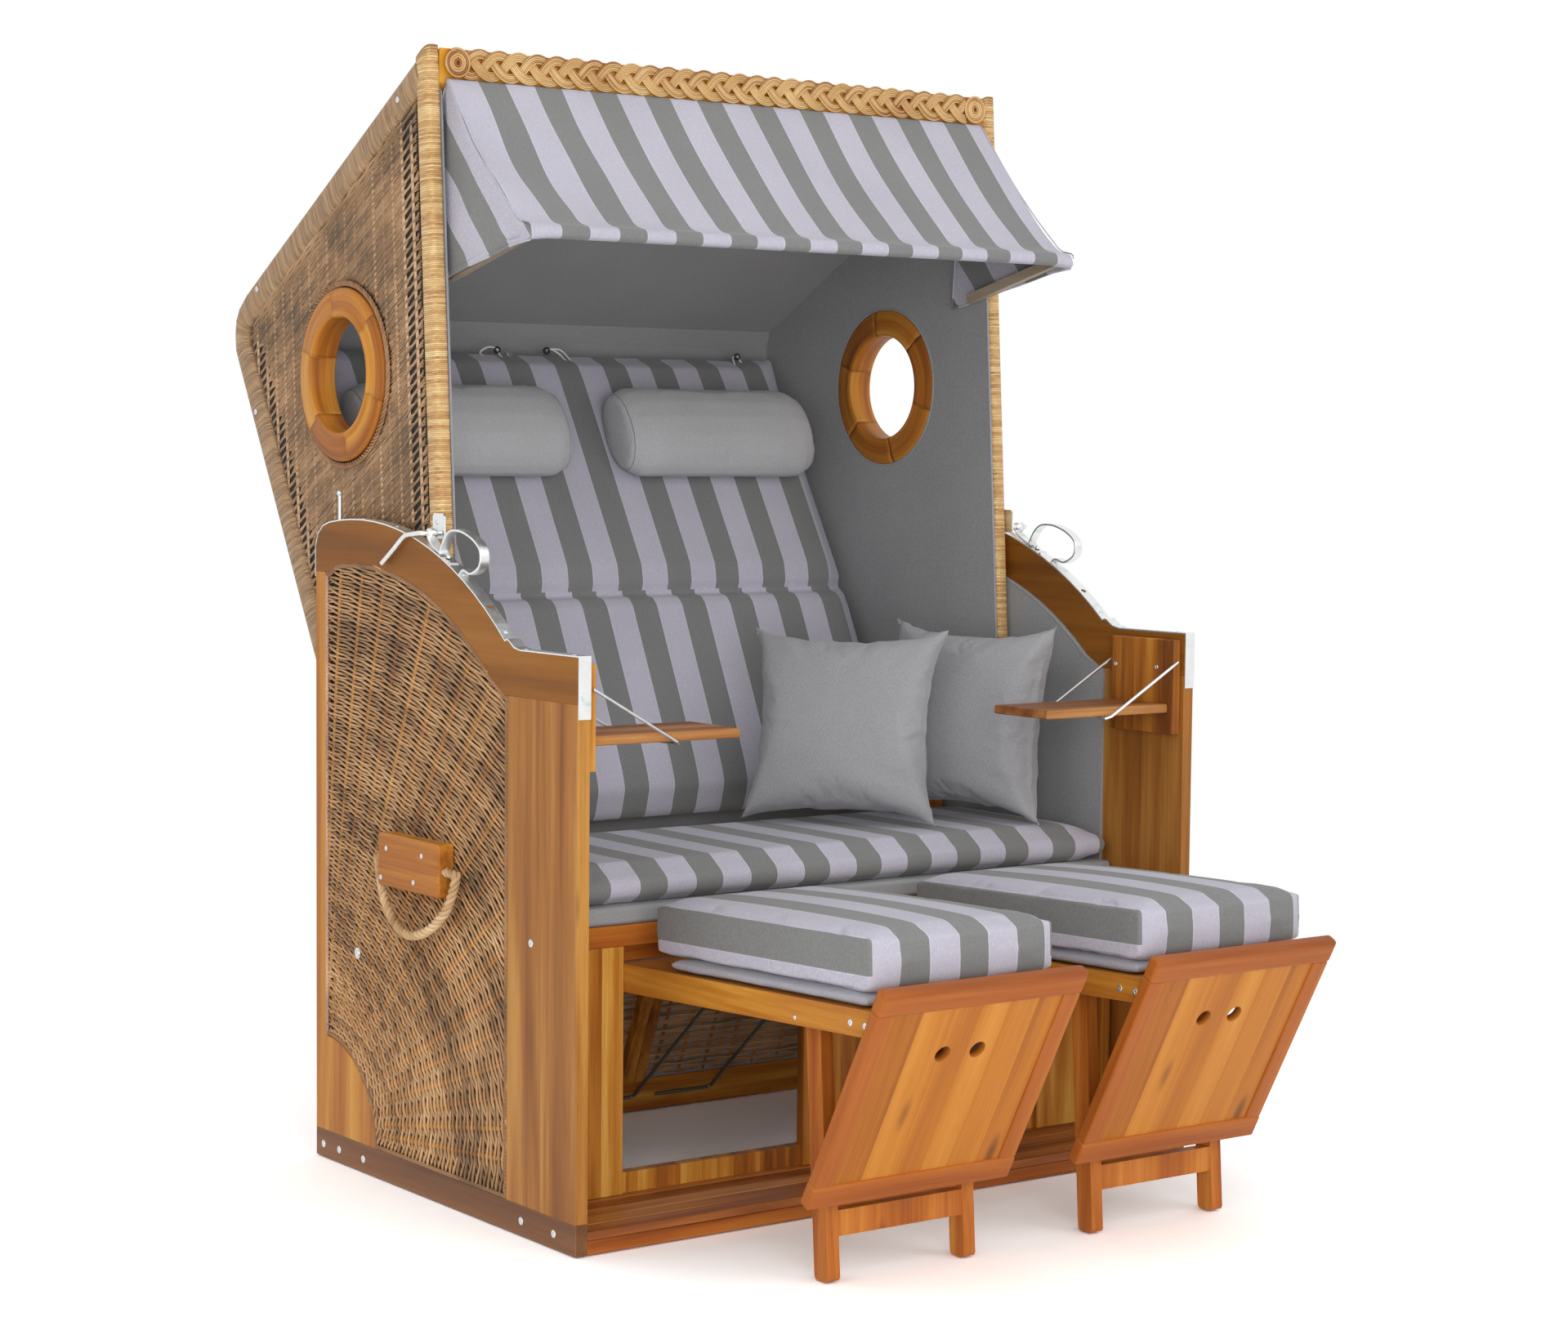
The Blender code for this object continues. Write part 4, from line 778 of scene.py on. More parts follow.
def weave(name, rows, stakes, inside_at, place, material, stake_material, body, twist=0.0,
          strand=1.5 * MM, lift=1.7 * MM):
    """Weavers in pairs that pass over and under flat stakes, or with twist wind round each other.

    Each row is a list of (u, v, phase, squeeze, across), where across is the way from row to row.
    """
    canes = Tubes(5)
    for number, row in enumerate(rows):
        run = []
        tone = int(dice.random() * 40)

        def flush():
            if len(run) > 2:
                for half in (-1, 1):
                    path = []
                    for k, (a, b, phase, squeeze, across) in enumerate(run):
                        wave = math.cos(math.pi * phase)
                        off = half * strand * 1.02 * squeeze
                        if twist:
                            off = -half * twist * math.sin(math.pi * phase) * squeeze
                            wave *= half
                        off += 0.25 * MM * math.sin(a * 61 + b * 47 + half * 2 + number)
                        path.append(place(a + across[0] * off, b + across[1] * off,
                                          lift * wave + 0.2 * MM * half))
                    wide = sum(r[3] for r in run) / len(run)
                    canes.run(path, strand * (0.94 + 0.1 * dice.random()) * (0.4 + 0.6 * wide),
                              tone=tone + half + number % 5)
            run.clear()

        for a, b, phase, squeeze, across in row:
            if inside_at(a, b):
                run.append((a, b, phase, squeeze, across))
            else:
                flush()
        flush()
    obj = canes.done(name, material, body)
    rods = Tubes(6)
    for number, path in enumerate(stakes):
        run = []
        for a, b in path + [(None, None)]:
            if a is not None and inside_at(a, b):
                run.append(place(a, b, 0.0))
            else:
                if len(run) > 2:
                    rods.run(run, STAKE_R, out=place(0, 0, 1.0) - place(0, 0, 0.0),
                             flat=0.30, tone=number * 3)
                run = []
    rods.done(name + "_stakes", stake_material, body)
    return obj


def plait(name, route, width, depth, period, canes_in_strand, cane_r, out, material, body,
          step=0.045,
          swing=0.0):
    """A three-strand plait of round canes laid along a route of points; out is the way it faces."""
    pts = [Vector(p) for p in route]
    marks = marks_along(pts)
    total = marks[-1]
    tubes = Tubes(6)
    count = max(12, int(total / (period * step)))
    half = width / 2 - canes_in_strand * cane_r
    for strand in range(3):
        middle = []
        k = 0
        for i in range(count + 1):
            s = total * i / count
            while k < len(marks) - 2 and marks[k + 1] < s:
                k += 1
            seg = pts[k + 1] - pts[k]
            p = pts[k] + seg * ((s - marks[k]) / max(seg.length, 1e-9))
            t = seg.normalized()
            side = out.cross(t).normalized()
            a = math.tau * (s / period + strand / 3)
            p = p - t * (swing * math.sin(2 * a))
            middle.append(p + side * (half * math.sin(a)) + out * (depth * 0.5 * math.sin(2 * a)))
        for c in range(canes_in_strand):
            off = (c - (canes_in_strand - 1) / 2) * 2 * cane_r * 0.97
            path = []
            for i, p in enumerate(middle):
                go = middle[min(i + 1, count)] - middle[max(i - 1, 0)]
                go = (go - out * go.dot(out)).normalized()
                path.append(p + out.cross(go) * off)
            tubes.run(path, cane_r, tone=strand * 7 + c)
    return tubes.done(name, material, body)


# Base sides: a sunburst weave round the lower rear corner

FAN = (0.745, 0.050)
FAN_FLAT, FAN_REACH = 0.68, 1.02       # how much flatter the arcs are than circles, and the last one
FAN_STEP = math.radians(4.45)
FAN_ROW = 7.3 * MM
WEAVE_X, BORDER_X, PIPING_X = 0.5572, 0.5590, 0.5365
GAP_IN, GAP_HALF = 16 * MM, 13 * MM
BORDER_IN, BORDER_WIDE = 3.6 * MM, 7 * MM

SIDE_WICKER = wicker("side_willow", WICKER_BASE)
HOOD_WICKER = wicker("hood_willow", WICKER_TAN)
STAKE_CANE = wicker("golden_stakes", ((120, 60, 24), (176, 108, 36), (206, 140, 48), (228, 170, 76)), 0.45)
HOOD_STAKE = wicker("pale_stakes", ((150, 116, 84), (186, 150, 116), (206, 172, 136), (222, 190, 154)), 0.5)
BORDER_CANE = wicker("border_cane", ((96, 66, 44), (138, 98, 64), (166, 122, 82), (188, 146, 104)), 0.5)
PALE_BORDER = wicker("pale_border_cane", ((128, 84, 76), (184, 140, 118),
                                                    (214, 176, 148), (230, 200, 176)), 0.5)
# Painted shade: near-black colours for the faces behind the weaves, standing in for the shade seen through
# the gaps between strands.
PAINTED_SHADE_SIDE, PAINTED_SHADE_HOOD, PAINTED_SHADE_SHELL = rgb(40, 38, 37), rgb(26, 22, 20), rgb(60, 48, 38)


def two_faced(name, outer, inner, facing):
    """Lining cloth, painted dark on the faces that look the way of facing: painted shade for what is seen
    through the weave.
    """
    mat = inner.copy()
    mat.name = name
    links, nodes = mat.node_tree.links, mat.node_tree.nodes
    bsdf = nodes["Principled BSDF"]
    plain = bsdf.inputs["Base Color"].links[0].from_socket
    turned = nodes.new("ShaderNodeVectorMath")
    turned.operation = "DOT_PRODUCT"
    turned.inputs[1].default_value = facing
    links.new(nodes.new("ShaderNodeTexCoord").outputs["Normal"], turned.inputs[0])
    test = nodes.new("ShaderNodeMath")
    test.operation = "GREATER_THAN"
    test.inputs[1].default_value = 0.3
    links.new(turned.outputs["Value"], test.inputs[0])
    mix = nodes.new("ShaderNodeMix")
    mix.data_type = "RGBA"
    links.new(test.outputs[0], mix.inputs[0])
    links.new(plain, mix.inputs[6])
    mix.inputs[7].default_value = outer
    links.new(mix.outputs[2], bsdf.inputs["Base Color"])
    return mat


@both
def side_panel(s, word):
    def place(y, z, out):
        return at(s * (WEAVE_X + out), y, z)

    def within(y, z):
        return inside(SIDE_FILL, y, z)

    rows = []
    radius, number = 0.030, 0
    while radius < FAN_REACH:
        row = []
        n = max(8, int(radius * 2.0 / (7.0 * MM)))
        for i in range(n + 1):
            t = math.radians(-3) + math.radians(96) * i / n
            y, z = FAN[0] - radius * math.sin(t) / FAN_FLAT, FAN[1] + radius * math.cos(t)
            if z > 1.0 or y < 0.15:
                continue
            theta = math.atan2(FAN[0] - y, z - FAN[1])
            across = Vector((-math.sin(t) * FAN_FLAT, math.cos(t))).normalized()
            near = max(0.0, 1 - abs(POST_Y - y - GAP_IN) / GAP_HALF)
            shift = (1 - number % 2 * 2) * 0.22 * FAN_ROW * near
            spread = 1 / math.sqrt((FAN_FLAT * math.sin(t)) ** 2 + math.cos(t) ** 2)
            wob = 1.0 * MM * math.sin(theta / FAN_STEP * math.pi + math.pi * number) * spread
            row.append((y + across[0] * (shift + wob), z + across[1] * (shift + wob),
                        theta / FAN_STEP + number, spread, across))
        rows.append(row)
        radius += FAN_ROW
        number += 1
    stakes = []
    for i in range(20):
        theta = FAN_STEP * i + math.radians(0.6)
        if theta > math.radians(88):
            break
        stakes.append([(FAN[0] - r * math.sin(theta), FAN[1] + r * math.cos(theta))
                       for r in [0.02 + 0.03 * k for k in range(36)]])
    obj = weave(f"side_weave_{word}", rows, stakes, within, place, SIDE_WICKER, STAKE_CANE, "base",
                twist=3.0 * MM, strand=1.9 * MM, lift=2.3 * MM)
    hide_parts(f"side_wicker_{word}")
    # The lining's outer face is painted dark: painted shade behind the side weave.
    slab(f"side_lining_{word}", SIDE_FILL, s * PIPING_X, s * 0.5515, two_faced(
        f"side_lining_painted_shade_{word}", PAINTED_SHADE_SIDE, CLOTH["lining"], (s, 0, 0)), "base")

    def border(name, route, mat, width=BORDER_WIDE):
        plait(f"{name}_{word}", [at(s * BORDER_X, y, z) for y, z in route], width, 1.6 * MM,
              17 * MM, 1, 1.9 * MM,
              Vector((s, 0, 0)), mat, "base", step=0.10)

    inset = BORDER_IN
    border("rear_border", [(POST_Y - inset, CORNER_Z), (POST_Y - inset, RAIL_LOW - 4 * MM)], PALE_BORDER)
    border("corner_border", corner(inset, 1.1 * inset), BORDER_CANE)
    border("bottom_border", [(CORNER_Y, SILL_Z + inset), (FILL_FRONT, SILL_Z + inset)], BORDER_CANE)
    border("front_border", [(FILL_FRONT + inset, 0.0433), (FILL_FRONT + inset, FILL_TOP)], BORDER_CANE)
    top = [(0.1840, FILL_TOP - inset), (0.1905, FILL_TOP - inset), (0.205, 0.7567 - inset)]
    top += arc(PIVOT, ARC_IN - inset, -6.5, 41.0, 24)[::-1]
    top += [(0.700, RAIL_LOW - inset), (0.7137, RAIL_LOW - inset)]
    border("rail_border", top, BORDER_CANE, 8 * MM)
    thread = Tubes(6)
    line = [(0.712, RAIL_LOW - 1.5 * MM)] + arc(PIVOT, ARC_IN - 2 * MM, -6.5, 41.0, 30) + [(0.206, 0.755)]
    thread.run([at(s * PIPING_X, y, z) for y, z in line], 1.5 * MM)
    thread.done(f"side_piping_{word}", cloth(f"piping_{word}", rgb(150, 150, 156)), "base")

# Hood sides: weavers along the roof slope, stakes along the post

HOOD_STAKE_STEP = 30 * MM
HOOD_ROW = 4.9 * MM
HOOD_X = 0.5262
SLOT_IN, SLOT_HALF = 31 * MM, 26 * MM
HOLE_R, HOLE_PIPING_R, POINT_STEP = 0.1008, 0.1325, 7.0 * MM
# The first pair is where the dark sheet of painted shade behind the hood weave stands; the second is the
# lining.
HOOD_SHADE_SHEET, HOOD_LINING = (0.5085, 0.5235), (0.5048, 0.5079)


def round_porthole(r, a):
    return PORTHOLE[0] + r * math.cos(a), PORTHOLE[1] + r * math.sin(a)


@both
def hood_side(s, word):
    across = Vector((ROOF_SLOPE, 1.0)).normalized()

    def place(y, z, out):
        return at(s * (HOOD_X + out), y, z)

    def within(y, z):
        hole_gap = math.hypot(y - PORTHOLE[0], z - PORTHOLE[1])
        return inside(HOOD_FILL, y, z) and hole_gap > PORT_FLANGE_R + 4 * MM

    rows = []
    first, low = roof_z(0.47) - 0.03, 0.55
    for number in range(int((first - low + 0.6 * ROOF_SLOPE) / HOOD_ROW) + 60):
        row = []
        for i in range(95):
            y = 0.42 + i * POINT_STEP
            z = first - number * HOOD_ROW - (y - 0.47) * ROOF_SLOPE
            if z < low - 0.02 or z > HOOD_TOP:
                continue
            lane = (y - post_y(z)) / HOOD_STAKE_STEP
            near = max(0.0, 1 - abs(y - post_y(z) - POST_W - SLOT_IN) / SLOT_HALF)
            back = rear_y(z) - REAR_BAND - y if z < 1.25 else 1.0
            near = min(1.0, 1.7 * max(near, 1 - abs(back - SLOT_IN) / SLOT_HALF))
            shift = (number % 3 - 1) * 0.84 * HOOD_ROW * near
            tight = 1 - 0.56 * near
            row.append((y + across[0] * shift, z + across[1] * shift, lane + number, tight, across))
        rows.append(row)
    stakes = []
    for i in range(1, 24):
        stakes.append([(post_y(z) + i * HOOD_STAKE_STEP, z) for z in [0.56 + 0.02 * k for k in range(56)]])
    obj = weave(f"hood_weave_{word}", rows, stakes, within, place, HOOD_WICKER, HOOD_STAKE, "hood",
                strand=1.22 * MM, lift=1.2 * MM)
    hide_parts(f"hood_wicker_{word}")
    hole = [round_porthole(HOLE_R, a) for a in circle(48)]
    # A sheet behind the hood weave, dark on its outer face: painted shade seen through the weave.
    slab(f"hood_reverse_{word}", HOOD_FILL, s * HOOD_SHADE_SHEET[0], s * HOOD_SHADE_SHEET[1],
         two_faced(f"hood_reverse_cloth_{word}", PAINTED_SHADE_HOOD, CLOTH["lining"], (s, 0, 0)),
         "hood", [hole])
    front = [(post_y(z) + 5 * MM, z) for z in (0.664, 1.0, 1.3, 1.598)]
    skin_line = front + [(0.4916, roof_z(0.4916) - 0.012), (1.045, roof_z(1.045) - 0.012), (1.064, 1.290),
                         (1.068, 1.250), (rear_y(REAR_KNEE) - 8 * MM, REAR_KNEE),
                         (rear_y(0.42) - 8 * MM, 0.42),
                         (0.600, 0.42), (0.572, 0.560)]
    slab(f"hood_lining_{word}", skin_line, s * HOOD_LINING[0], s * HOOD_LINING[1], CLOTH["lining"],
         "hood",
         [hole])
    edge = Tubes(6)
    heights = [0.664 + 0.0468 * k for k in range(21)]
    edge.run([at(s * 0.5062, post_y(z) + 4.5 * MM, z) for z in heights], 2.2 * MM)
    edge.run([at(s * 0.5046, *round_porthole(HOLE_PIPING_R, a)) for a in circle(64)], 1.6 * MM, closed=True)
    edge.done(f"hood_piping_{word}", cloth(f"hood_piping_cloth_{word}", rgb(150, 150, 158)), "hood")

# Hood frame: bars wound with fine cane


def wound_bar(name, route, half_w, half_t, x_mid, material, body, roof_cut=False, sides=24, power=3.4):
    """A rounded bar along (depth, height) points, with its length and girth in the UVs."""
    pts = [Vector(p) for p in route]
    ring = []
    for a in circle(sides):
        c, d = math.cos(a), math.sin(a)
        ring.append((math.copysign(abs(c) ** (2 / power), c) * half_w,
                     math.copysign(abs(d) ** (2 / power), d) * half_t))
    girth = 2 * (half_w + half_t) * 1.8
    verts, uv, gone = [], [], 0.0
    for i, p in enumerate(pts):
        t = (pts[min(i + 1, len(pts) - 1)] - pts[max(i - 1, 0)]).normalized()
        n = Vector((-t[1], t[0]))
        gone += (p - pts[i - 1]).length if i else 0.0
        for j, (w, x) in enumerate(ring):
            y, z = p[0] + n[0] * w, p[1] + n[1] * w
            if roof_cut and i == len(pts) - 1:
                z = roof_z(y) + 0.3 * MM
            verts.append(at(x_mid + x, y, z))
            uv.append((gone, girth * j / sides))
    obj = piece(name, verts, ring_faces(0, len(pts), sides), material, body, uv)
    for face in obj.data.polygons[-2:]:
        face.use_smooth = False
    return normals_out(obj)


# The post gets the paler cane, a painted highlight; the band gets the sides' tone.
POST_CANE = wrapped("post_cane", CANE_PAINTED_HIGHLIGHT, 2.9 * MM)
BAND_CANE = wrapped("band_cane", CANE_SIDE, 2.9 * MM, slant=0.10)
BAR_X = (HOOD_IN + HOOD_HALF) / 2
BAR_T = (HOOD_HALF - HOOD_IN) / 2 + 0.9 * MM
LUG_R, PIN_R = 30 * MM, 12 * MM


def offset_line(points, gap):
    """Moves a line of (depth, height) points by gap to its right-hand side."""
    pts = [Vector(p) for p in points]
    out = []
    for i, p in enumerate(pts):
        a = (p - pts[i - 1]).normalized() if i else None
        b = (pts[i + 1] - p).normalized() if i < len(pts) - 1 else None
        t = ((a or b) + (b or a)).normalized()
        n = Vector((t[1], -t[0]))
        stretch = 1 / max(0.6, n.dot(Vector((b[1], -b[0]))) if b is not None else 1.0)
        out.append(p + n * gap * stretch)
    return out


def dense(points, step):
    out = []
    for a, b in zip(points, points[1:]):
        n = max(1, int((b - a).length / step))
        out += [a + (b - a) * k / n for k in range(n)]
    return out + [points[-1]]


@both
def hood_bars(s, word):
    x = s * BAR_X
    post = [(post_y(z) + POST_W / 2, z) for z in [0.668 + 0.019 * k for k in range(52)]]
    post.append((POST_TOP_Y + 0.018, 1.655))
    bar = wound_bar(f"hood_post_{word}", post, POST_W / 2 + 0.8 * MM, BAR_T, x, POST_CANE, "hood",
                    roof_cut=True, power=3.0)
    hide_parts(f"hood_frame_{word}")
    line = [(0.4945, roof_z(0.4945)), (0.76, roof_z(0.76)), (1.040, roof_z(1.040)), (1.0650, 1.3065),
            (1.0775, 1.288),
            (1.0810, 1.263), REAR_CORNER, (rear_y(1.0), 1.0), (rear_y(0.80), 0.80), (rear_y(0.756), 0.756),
            (rear_y(0.71), 0.71), (rear_y(0.40), 0.40)]
    centre = dense(offset_line(line, ROOF_BAND / 2 - 0.4 * MM), 12 * MM)
    wound_bar(f"hood_band_{word}", centre, ROOF_BAND / 2, BAR_T, x, BAND_CANE, "hood", power=3.2)
    lug = [(0.3985, 0.664), (0.436, 0.700), (0.612, 0.598), (0.690, 0.640), (rear_y(0.62) - 2 * MM, 0.62),
           (0.652, 0.375)]
    lug += arc(PIVOT, LUG_R, -70, -290, 20) + [(0.568, 0.560)]
    slab(f"hood_lug_{word}", lug, s * 0.5084, s * 0.5312, WOOD["depth"], "hood")
    plate = [(0.4022, 0.960), (0.406, 0.956), (0.431, 0.956), (0.435, 0.960), (0.435, 0.989), (0.431, 0.993),
             (0.406, 0.993), (0.4022, 0.989)]
    slab(f"latch_plate_{word}", plate, s * 0.5312, s * 0.5337, ZINC, "hood")
    pin = Tubes(16)
    pin.run([at(s * 0.5300, *PIVOT), at(s * 0.5362, *PIVOT)], PIN_R)
    pin.done(f"pivot_pin_{word}", SCREW, "hood")

# Portholes: six curved blocks of wood, a bead round the bore, and a twisted cane outside

RING_BLOCKS = 6
CANE_TURNS, CANE_AT = 38, 0.1372


@both
def porthole(s, word):
    lip = [(PORT_R + 0.8 * MM, 0.4990), (PORT_R, 0.5000), (PORT_R, 0.5386), (PORT_R + 1.4 * MM, 0.5412),
           (PORT_R + 5.0 * MM, 0.5424), (PORT_R + 8.6 * MM, 0.5412), (PORT_R + 9.8 * MM, 0.5394),
           (PORT_R + 11.0 * MM, 0.5388), (0.1185, 0.5400), (0.1225, 0.5392), (0.1295, 0.5362),
           (0.1310, 0.5340),
           (0.1310, 0.5280), (PORT_TUBE_R, 0.5280), (PORT_TUBE_R, 0.5060), (0.1300, 0.5050), (0.1305, 0.5040),
           (0.1290, 0.5030), (0.1190, 0.4992), (0.1000, 0.4990), (0.0985, 0.4980),
           (0.0935, 0.4972), (0.0895, 0.4978)]
    verts, faces, uv = [], [], []
    steps = 14
    for block in range(RING_BLOCKS):
        base = len(verts)
        for i in range(steps + 1):
            joint = 0.12 if i == 0 else -0.12 if i == steps else 0.0
            a = math.radians(18 + 60 * block + 60 * i / steps + joint)
            gone = 0.0
            for k, (r, x) in enumerate(lip):
                verts.append(at(s * x, *round_porthole(r, a)))
                gone += math.dist(lip[k], lip[k - 1]) if k else 0.0
                uv.append((block * 1.7 + 0.115 * math.radians(60) * i / steps, block * 0.9 + gone))
        faces += ring_faces(base, steps + 1, len(lip))
    obj = normals_out(piece(f"porthole_wood_{word}", verts, faces, WOOD["ring"], "hood", uv))
    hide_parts(f"porthole_ring_{word}")
    cane = Tubes(6)
    for strand in range(3):
        path = []
        for a in circle(CANE_TURNS * 9):
            b = CANE_TURNS * a + math.tau * strand / 3
            r = CANE_AT + 3.1 * MM * math.cos(b)
            path.append(at(s * (0.5302 + 1.5 * MM * math.sin(b)), *round_porthole(r, a)))
        cane.run(path, 1.9 * MM, closed=True, tone=strand * 3)
    cane.done(f"porthole_cane_{word}", BORDER_CANE, "hood")

# Braid along the front of the roof, rolled up at its ends

BRAID_Y, BRAID_Z, BRAID_HALF = 0.4570, 1.6410, 0.468
BRAID_CANE = wicker("braid_cane", ((150, 92, 50), (206, 164, 104), (224, 188, 128), (238, 212, 160)), 0.42)
braid = plait("roof_braid", [at(x, BRAID_Y, BRAID_Z) for x in (-BRAID_HALF, BRAID_HALF)],
              47 * MM, 4.8 * MM, 99 * MM, 5,
              1.50 * MM, Vector((0, -1, 0)), BRAID_CANE, "hood", step=0.022, swing=2.4 * MM)
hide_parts("braid")
for s, word in SIDES:
    curl = Tubes(6)
    for lane in range(5):
        path = []
        for i in range(60):
            a = math.tau * 1.06 * i / 59 - 0.5
            r = (20.4 - 3.7 * lane) * MM - 1.6 * MM * i / 59
            path.append(at(s * (0.4835 - math.sin(a) * r), BRAID_Y - 2.6 * MM - 1.6 * MM * (i / 59),
                           BRAID_Z + math.cos(a) * r))
        curl.run(path, 1.9 * MM, tone=lane)
    curl.done(f"braid_curl_{word}", BRAID_CANE, "hood")

# Outside of the roof and back: broad weave round the shell

SHELL_LINE = [Vector(p) for p in (
    (0.4925, roof_z(0.4925) - 1 * MM), (1.051, roof_z(1.051) - 1 * MM), (1.065, 1.3075), (1.0755, 1.289),
    (1.0795, 1.2625), (1.0775, 1.236), (rear_y(REAR_KNEE) - 1 * MM, REAR_KNEE),
    (rear_y(0.43) - 1 * MM, 0.43))]
SHELL_ROW = 8.2 * MM
SHELL_HALF, SHELL_STAKE = 0.5035, 46 * MM


def shell_weave():
    line = dense(SHELL_LINE, 4 * MM)
    marks = marks_along(line)

    def place(x, v, out):
        lo = max(0, min(len(line) - 2, int(v / marks[-1] * (len(line) - 1)) - 3))
        while lo < len(line) - 2 and marks[lo + 1] < v:
            lo += 1
        t = (line[lo + 1] - line[lo])
        p = line[lo] + t * ((v - marks[lo]) / t.length)
        t = t.normalized()
        return at(x, p[0] - t[1] * (out - 0.6 * MM), p[1] + t[0] * (out - 0.6 * MM))

    rows = []
    count = int((marks[-1] - 8 * MM) / SHELL_ROW)
    for number in range(count):
        v = 5 * MM + number * SHELL_ROW
        rows.append([(x, v, x / SHELL_STAKE + number, 1.0, Vector((0, 1)))
                     for x in [-SHELL_HALF + 2 * SHELL_HALF * i / 80 for i in range(81)]])
    stakes = [[((i - 10.5) * SHELL_STAKE, 4 * MM + (marks[-1] - 8 * MM) * k / 60) for k in range(61)]
              for i in range(22)]
    weave("roof_weave", rows, stakes, lambda a, b: abs(a) <= SHELL_HALF and 0 <= b <= marks[-1],
          place, HOOD_WICKER,
          HOOD_STAKE, "hood", strand=2.02 * MM)


shell_weave()
# The shell's outer faces are painted dark: painted shade seen between the roof weave's strands.
skin("hood_shell", two_faced("shell_painted_shade", PAINTED_SHADE_SHELL, CLOTH["lining"], (0, 0.7, 0.7)))

# Weave behind the footrests

BACK_LOW, BACK_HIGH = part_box("rear_wicker")
BACK_LEAN, BACK_STAKE, BACK_ROW, BACK_THICK = 0.40, 50 * MM, 7 * MM, 11 * MM
REAR_FOOT = (0.729, 0.053)


def rear_weave():
    wide, top = min(-BACK_LOW[0], BACK_HIGH[0]) - 3 * MM, BACK_HIGH[2] - 5 * MM
    fall = math.hypot(1, BACK_LEAN)
    normal = (1 / fall, BACK_LEAN / fall)
    for face, word in ((-1, "front"), (1, "rear")):
        def place(x, z, out, face=face):
            y = REAR_FOOT[0] - (z - REAR_FOOT[1]) * BACK_LEAN + (0 if face < 0 else BACK_THICK)
            return at(x, y + face * normal[0] * out, z + face * normal[1] * out)
        rows = []
        number = 0
        z = REAR_FOOT[1] + 8 * MM
        while z < top:
            rows.append([(x, z, x / BACK_STAKE + number, 1.0, Vector((0, 1)))
                         for x in [-wide + 2 * wide * i / 84 for i in range(85)]])
            z += BACK_ROW
            number += 1
        half = int(wide / BACK_STAKE)
        foot, tall = REAR_FOOT[1] + 3 * MM, top - REAR_FOOT[1] - 3 * MM
        stakes = [[(i * BACK_STAKE, foot + tall * k / 8) for k in range(9)]
                  for i in range(-half, half + 1)]
        weave(f"rear_weave_{word}", rows, stakes, lambda a, b: abs(a) <= wide, place, SIDE_WICKER, STAKE_CANE,
              "base",
              strand=1.75 * MM, lift=1.5 * MM)
    skin("rear_wicker", CLOTH["lining"])


rear_weave()

# Awning: one striped cloth over the arms, with a flap at each end

AWN_HALF = 0.4992
AWN_TOP, AWN_TIP, AWN_SAG = (0.4510, 1.6085), (0.2620, 1.4105), 11 * MM
AWN_EDGE = [(0.4599, 1.6187), AWN_TOP]
for t in [i / 17 for i in range(1, 17)]:
    AWN_EDGE.append((AWN_TOP[0] + (AWN_TIP[0] - AWN_TOP[0]) * t,
                     AWN_TOP[1] + (AWN_TIP[1] - AWN_TOP[1]) * t - AWN_SAG * math.sin(math.pi * t) ** 0.9))
AWN_HEM = [(0.2620, 1.4095), (0.2500, 1.4035), (0.2400, 1.4012), (0.2320, 1.4000), (0.2270, 1.3968),
           (0.2252, 1.3915), (0.2255, 1.3860), (0.2280, 1.3825), (0.2345, 1.3812), (0.2410, 1.3815)]
AWN_FAR = [(0.4637, 1.6050), (0.492, 1.560), (0.505, 1.495), (0.514, 1.430), (0.519, 1.375), (0.522, 1.322)]
AWN_LOW = [(0.495, 1.3265), (0.443, 1.337), (0.390, 1.349), (0.350, 1.356), (0.320, 1.3625), (0.290, 1.369),
           (0.262, 1.3745), (0.2285, 1.3765)]


def along(points, t):
    """The point at share t of the way along a line of points."""
    spans = [(Vector(b) - Vector(a)).length for a, b in zip(points, points[1:])]
    left = t * sum(spans)
    for (a, b), span in zip(zip(points, points[1:]), spans):
        if left <= span or b == points[-1]:
            return Vector(a).lerp(Vector(b), min(1.0, left / span))
        left -= span


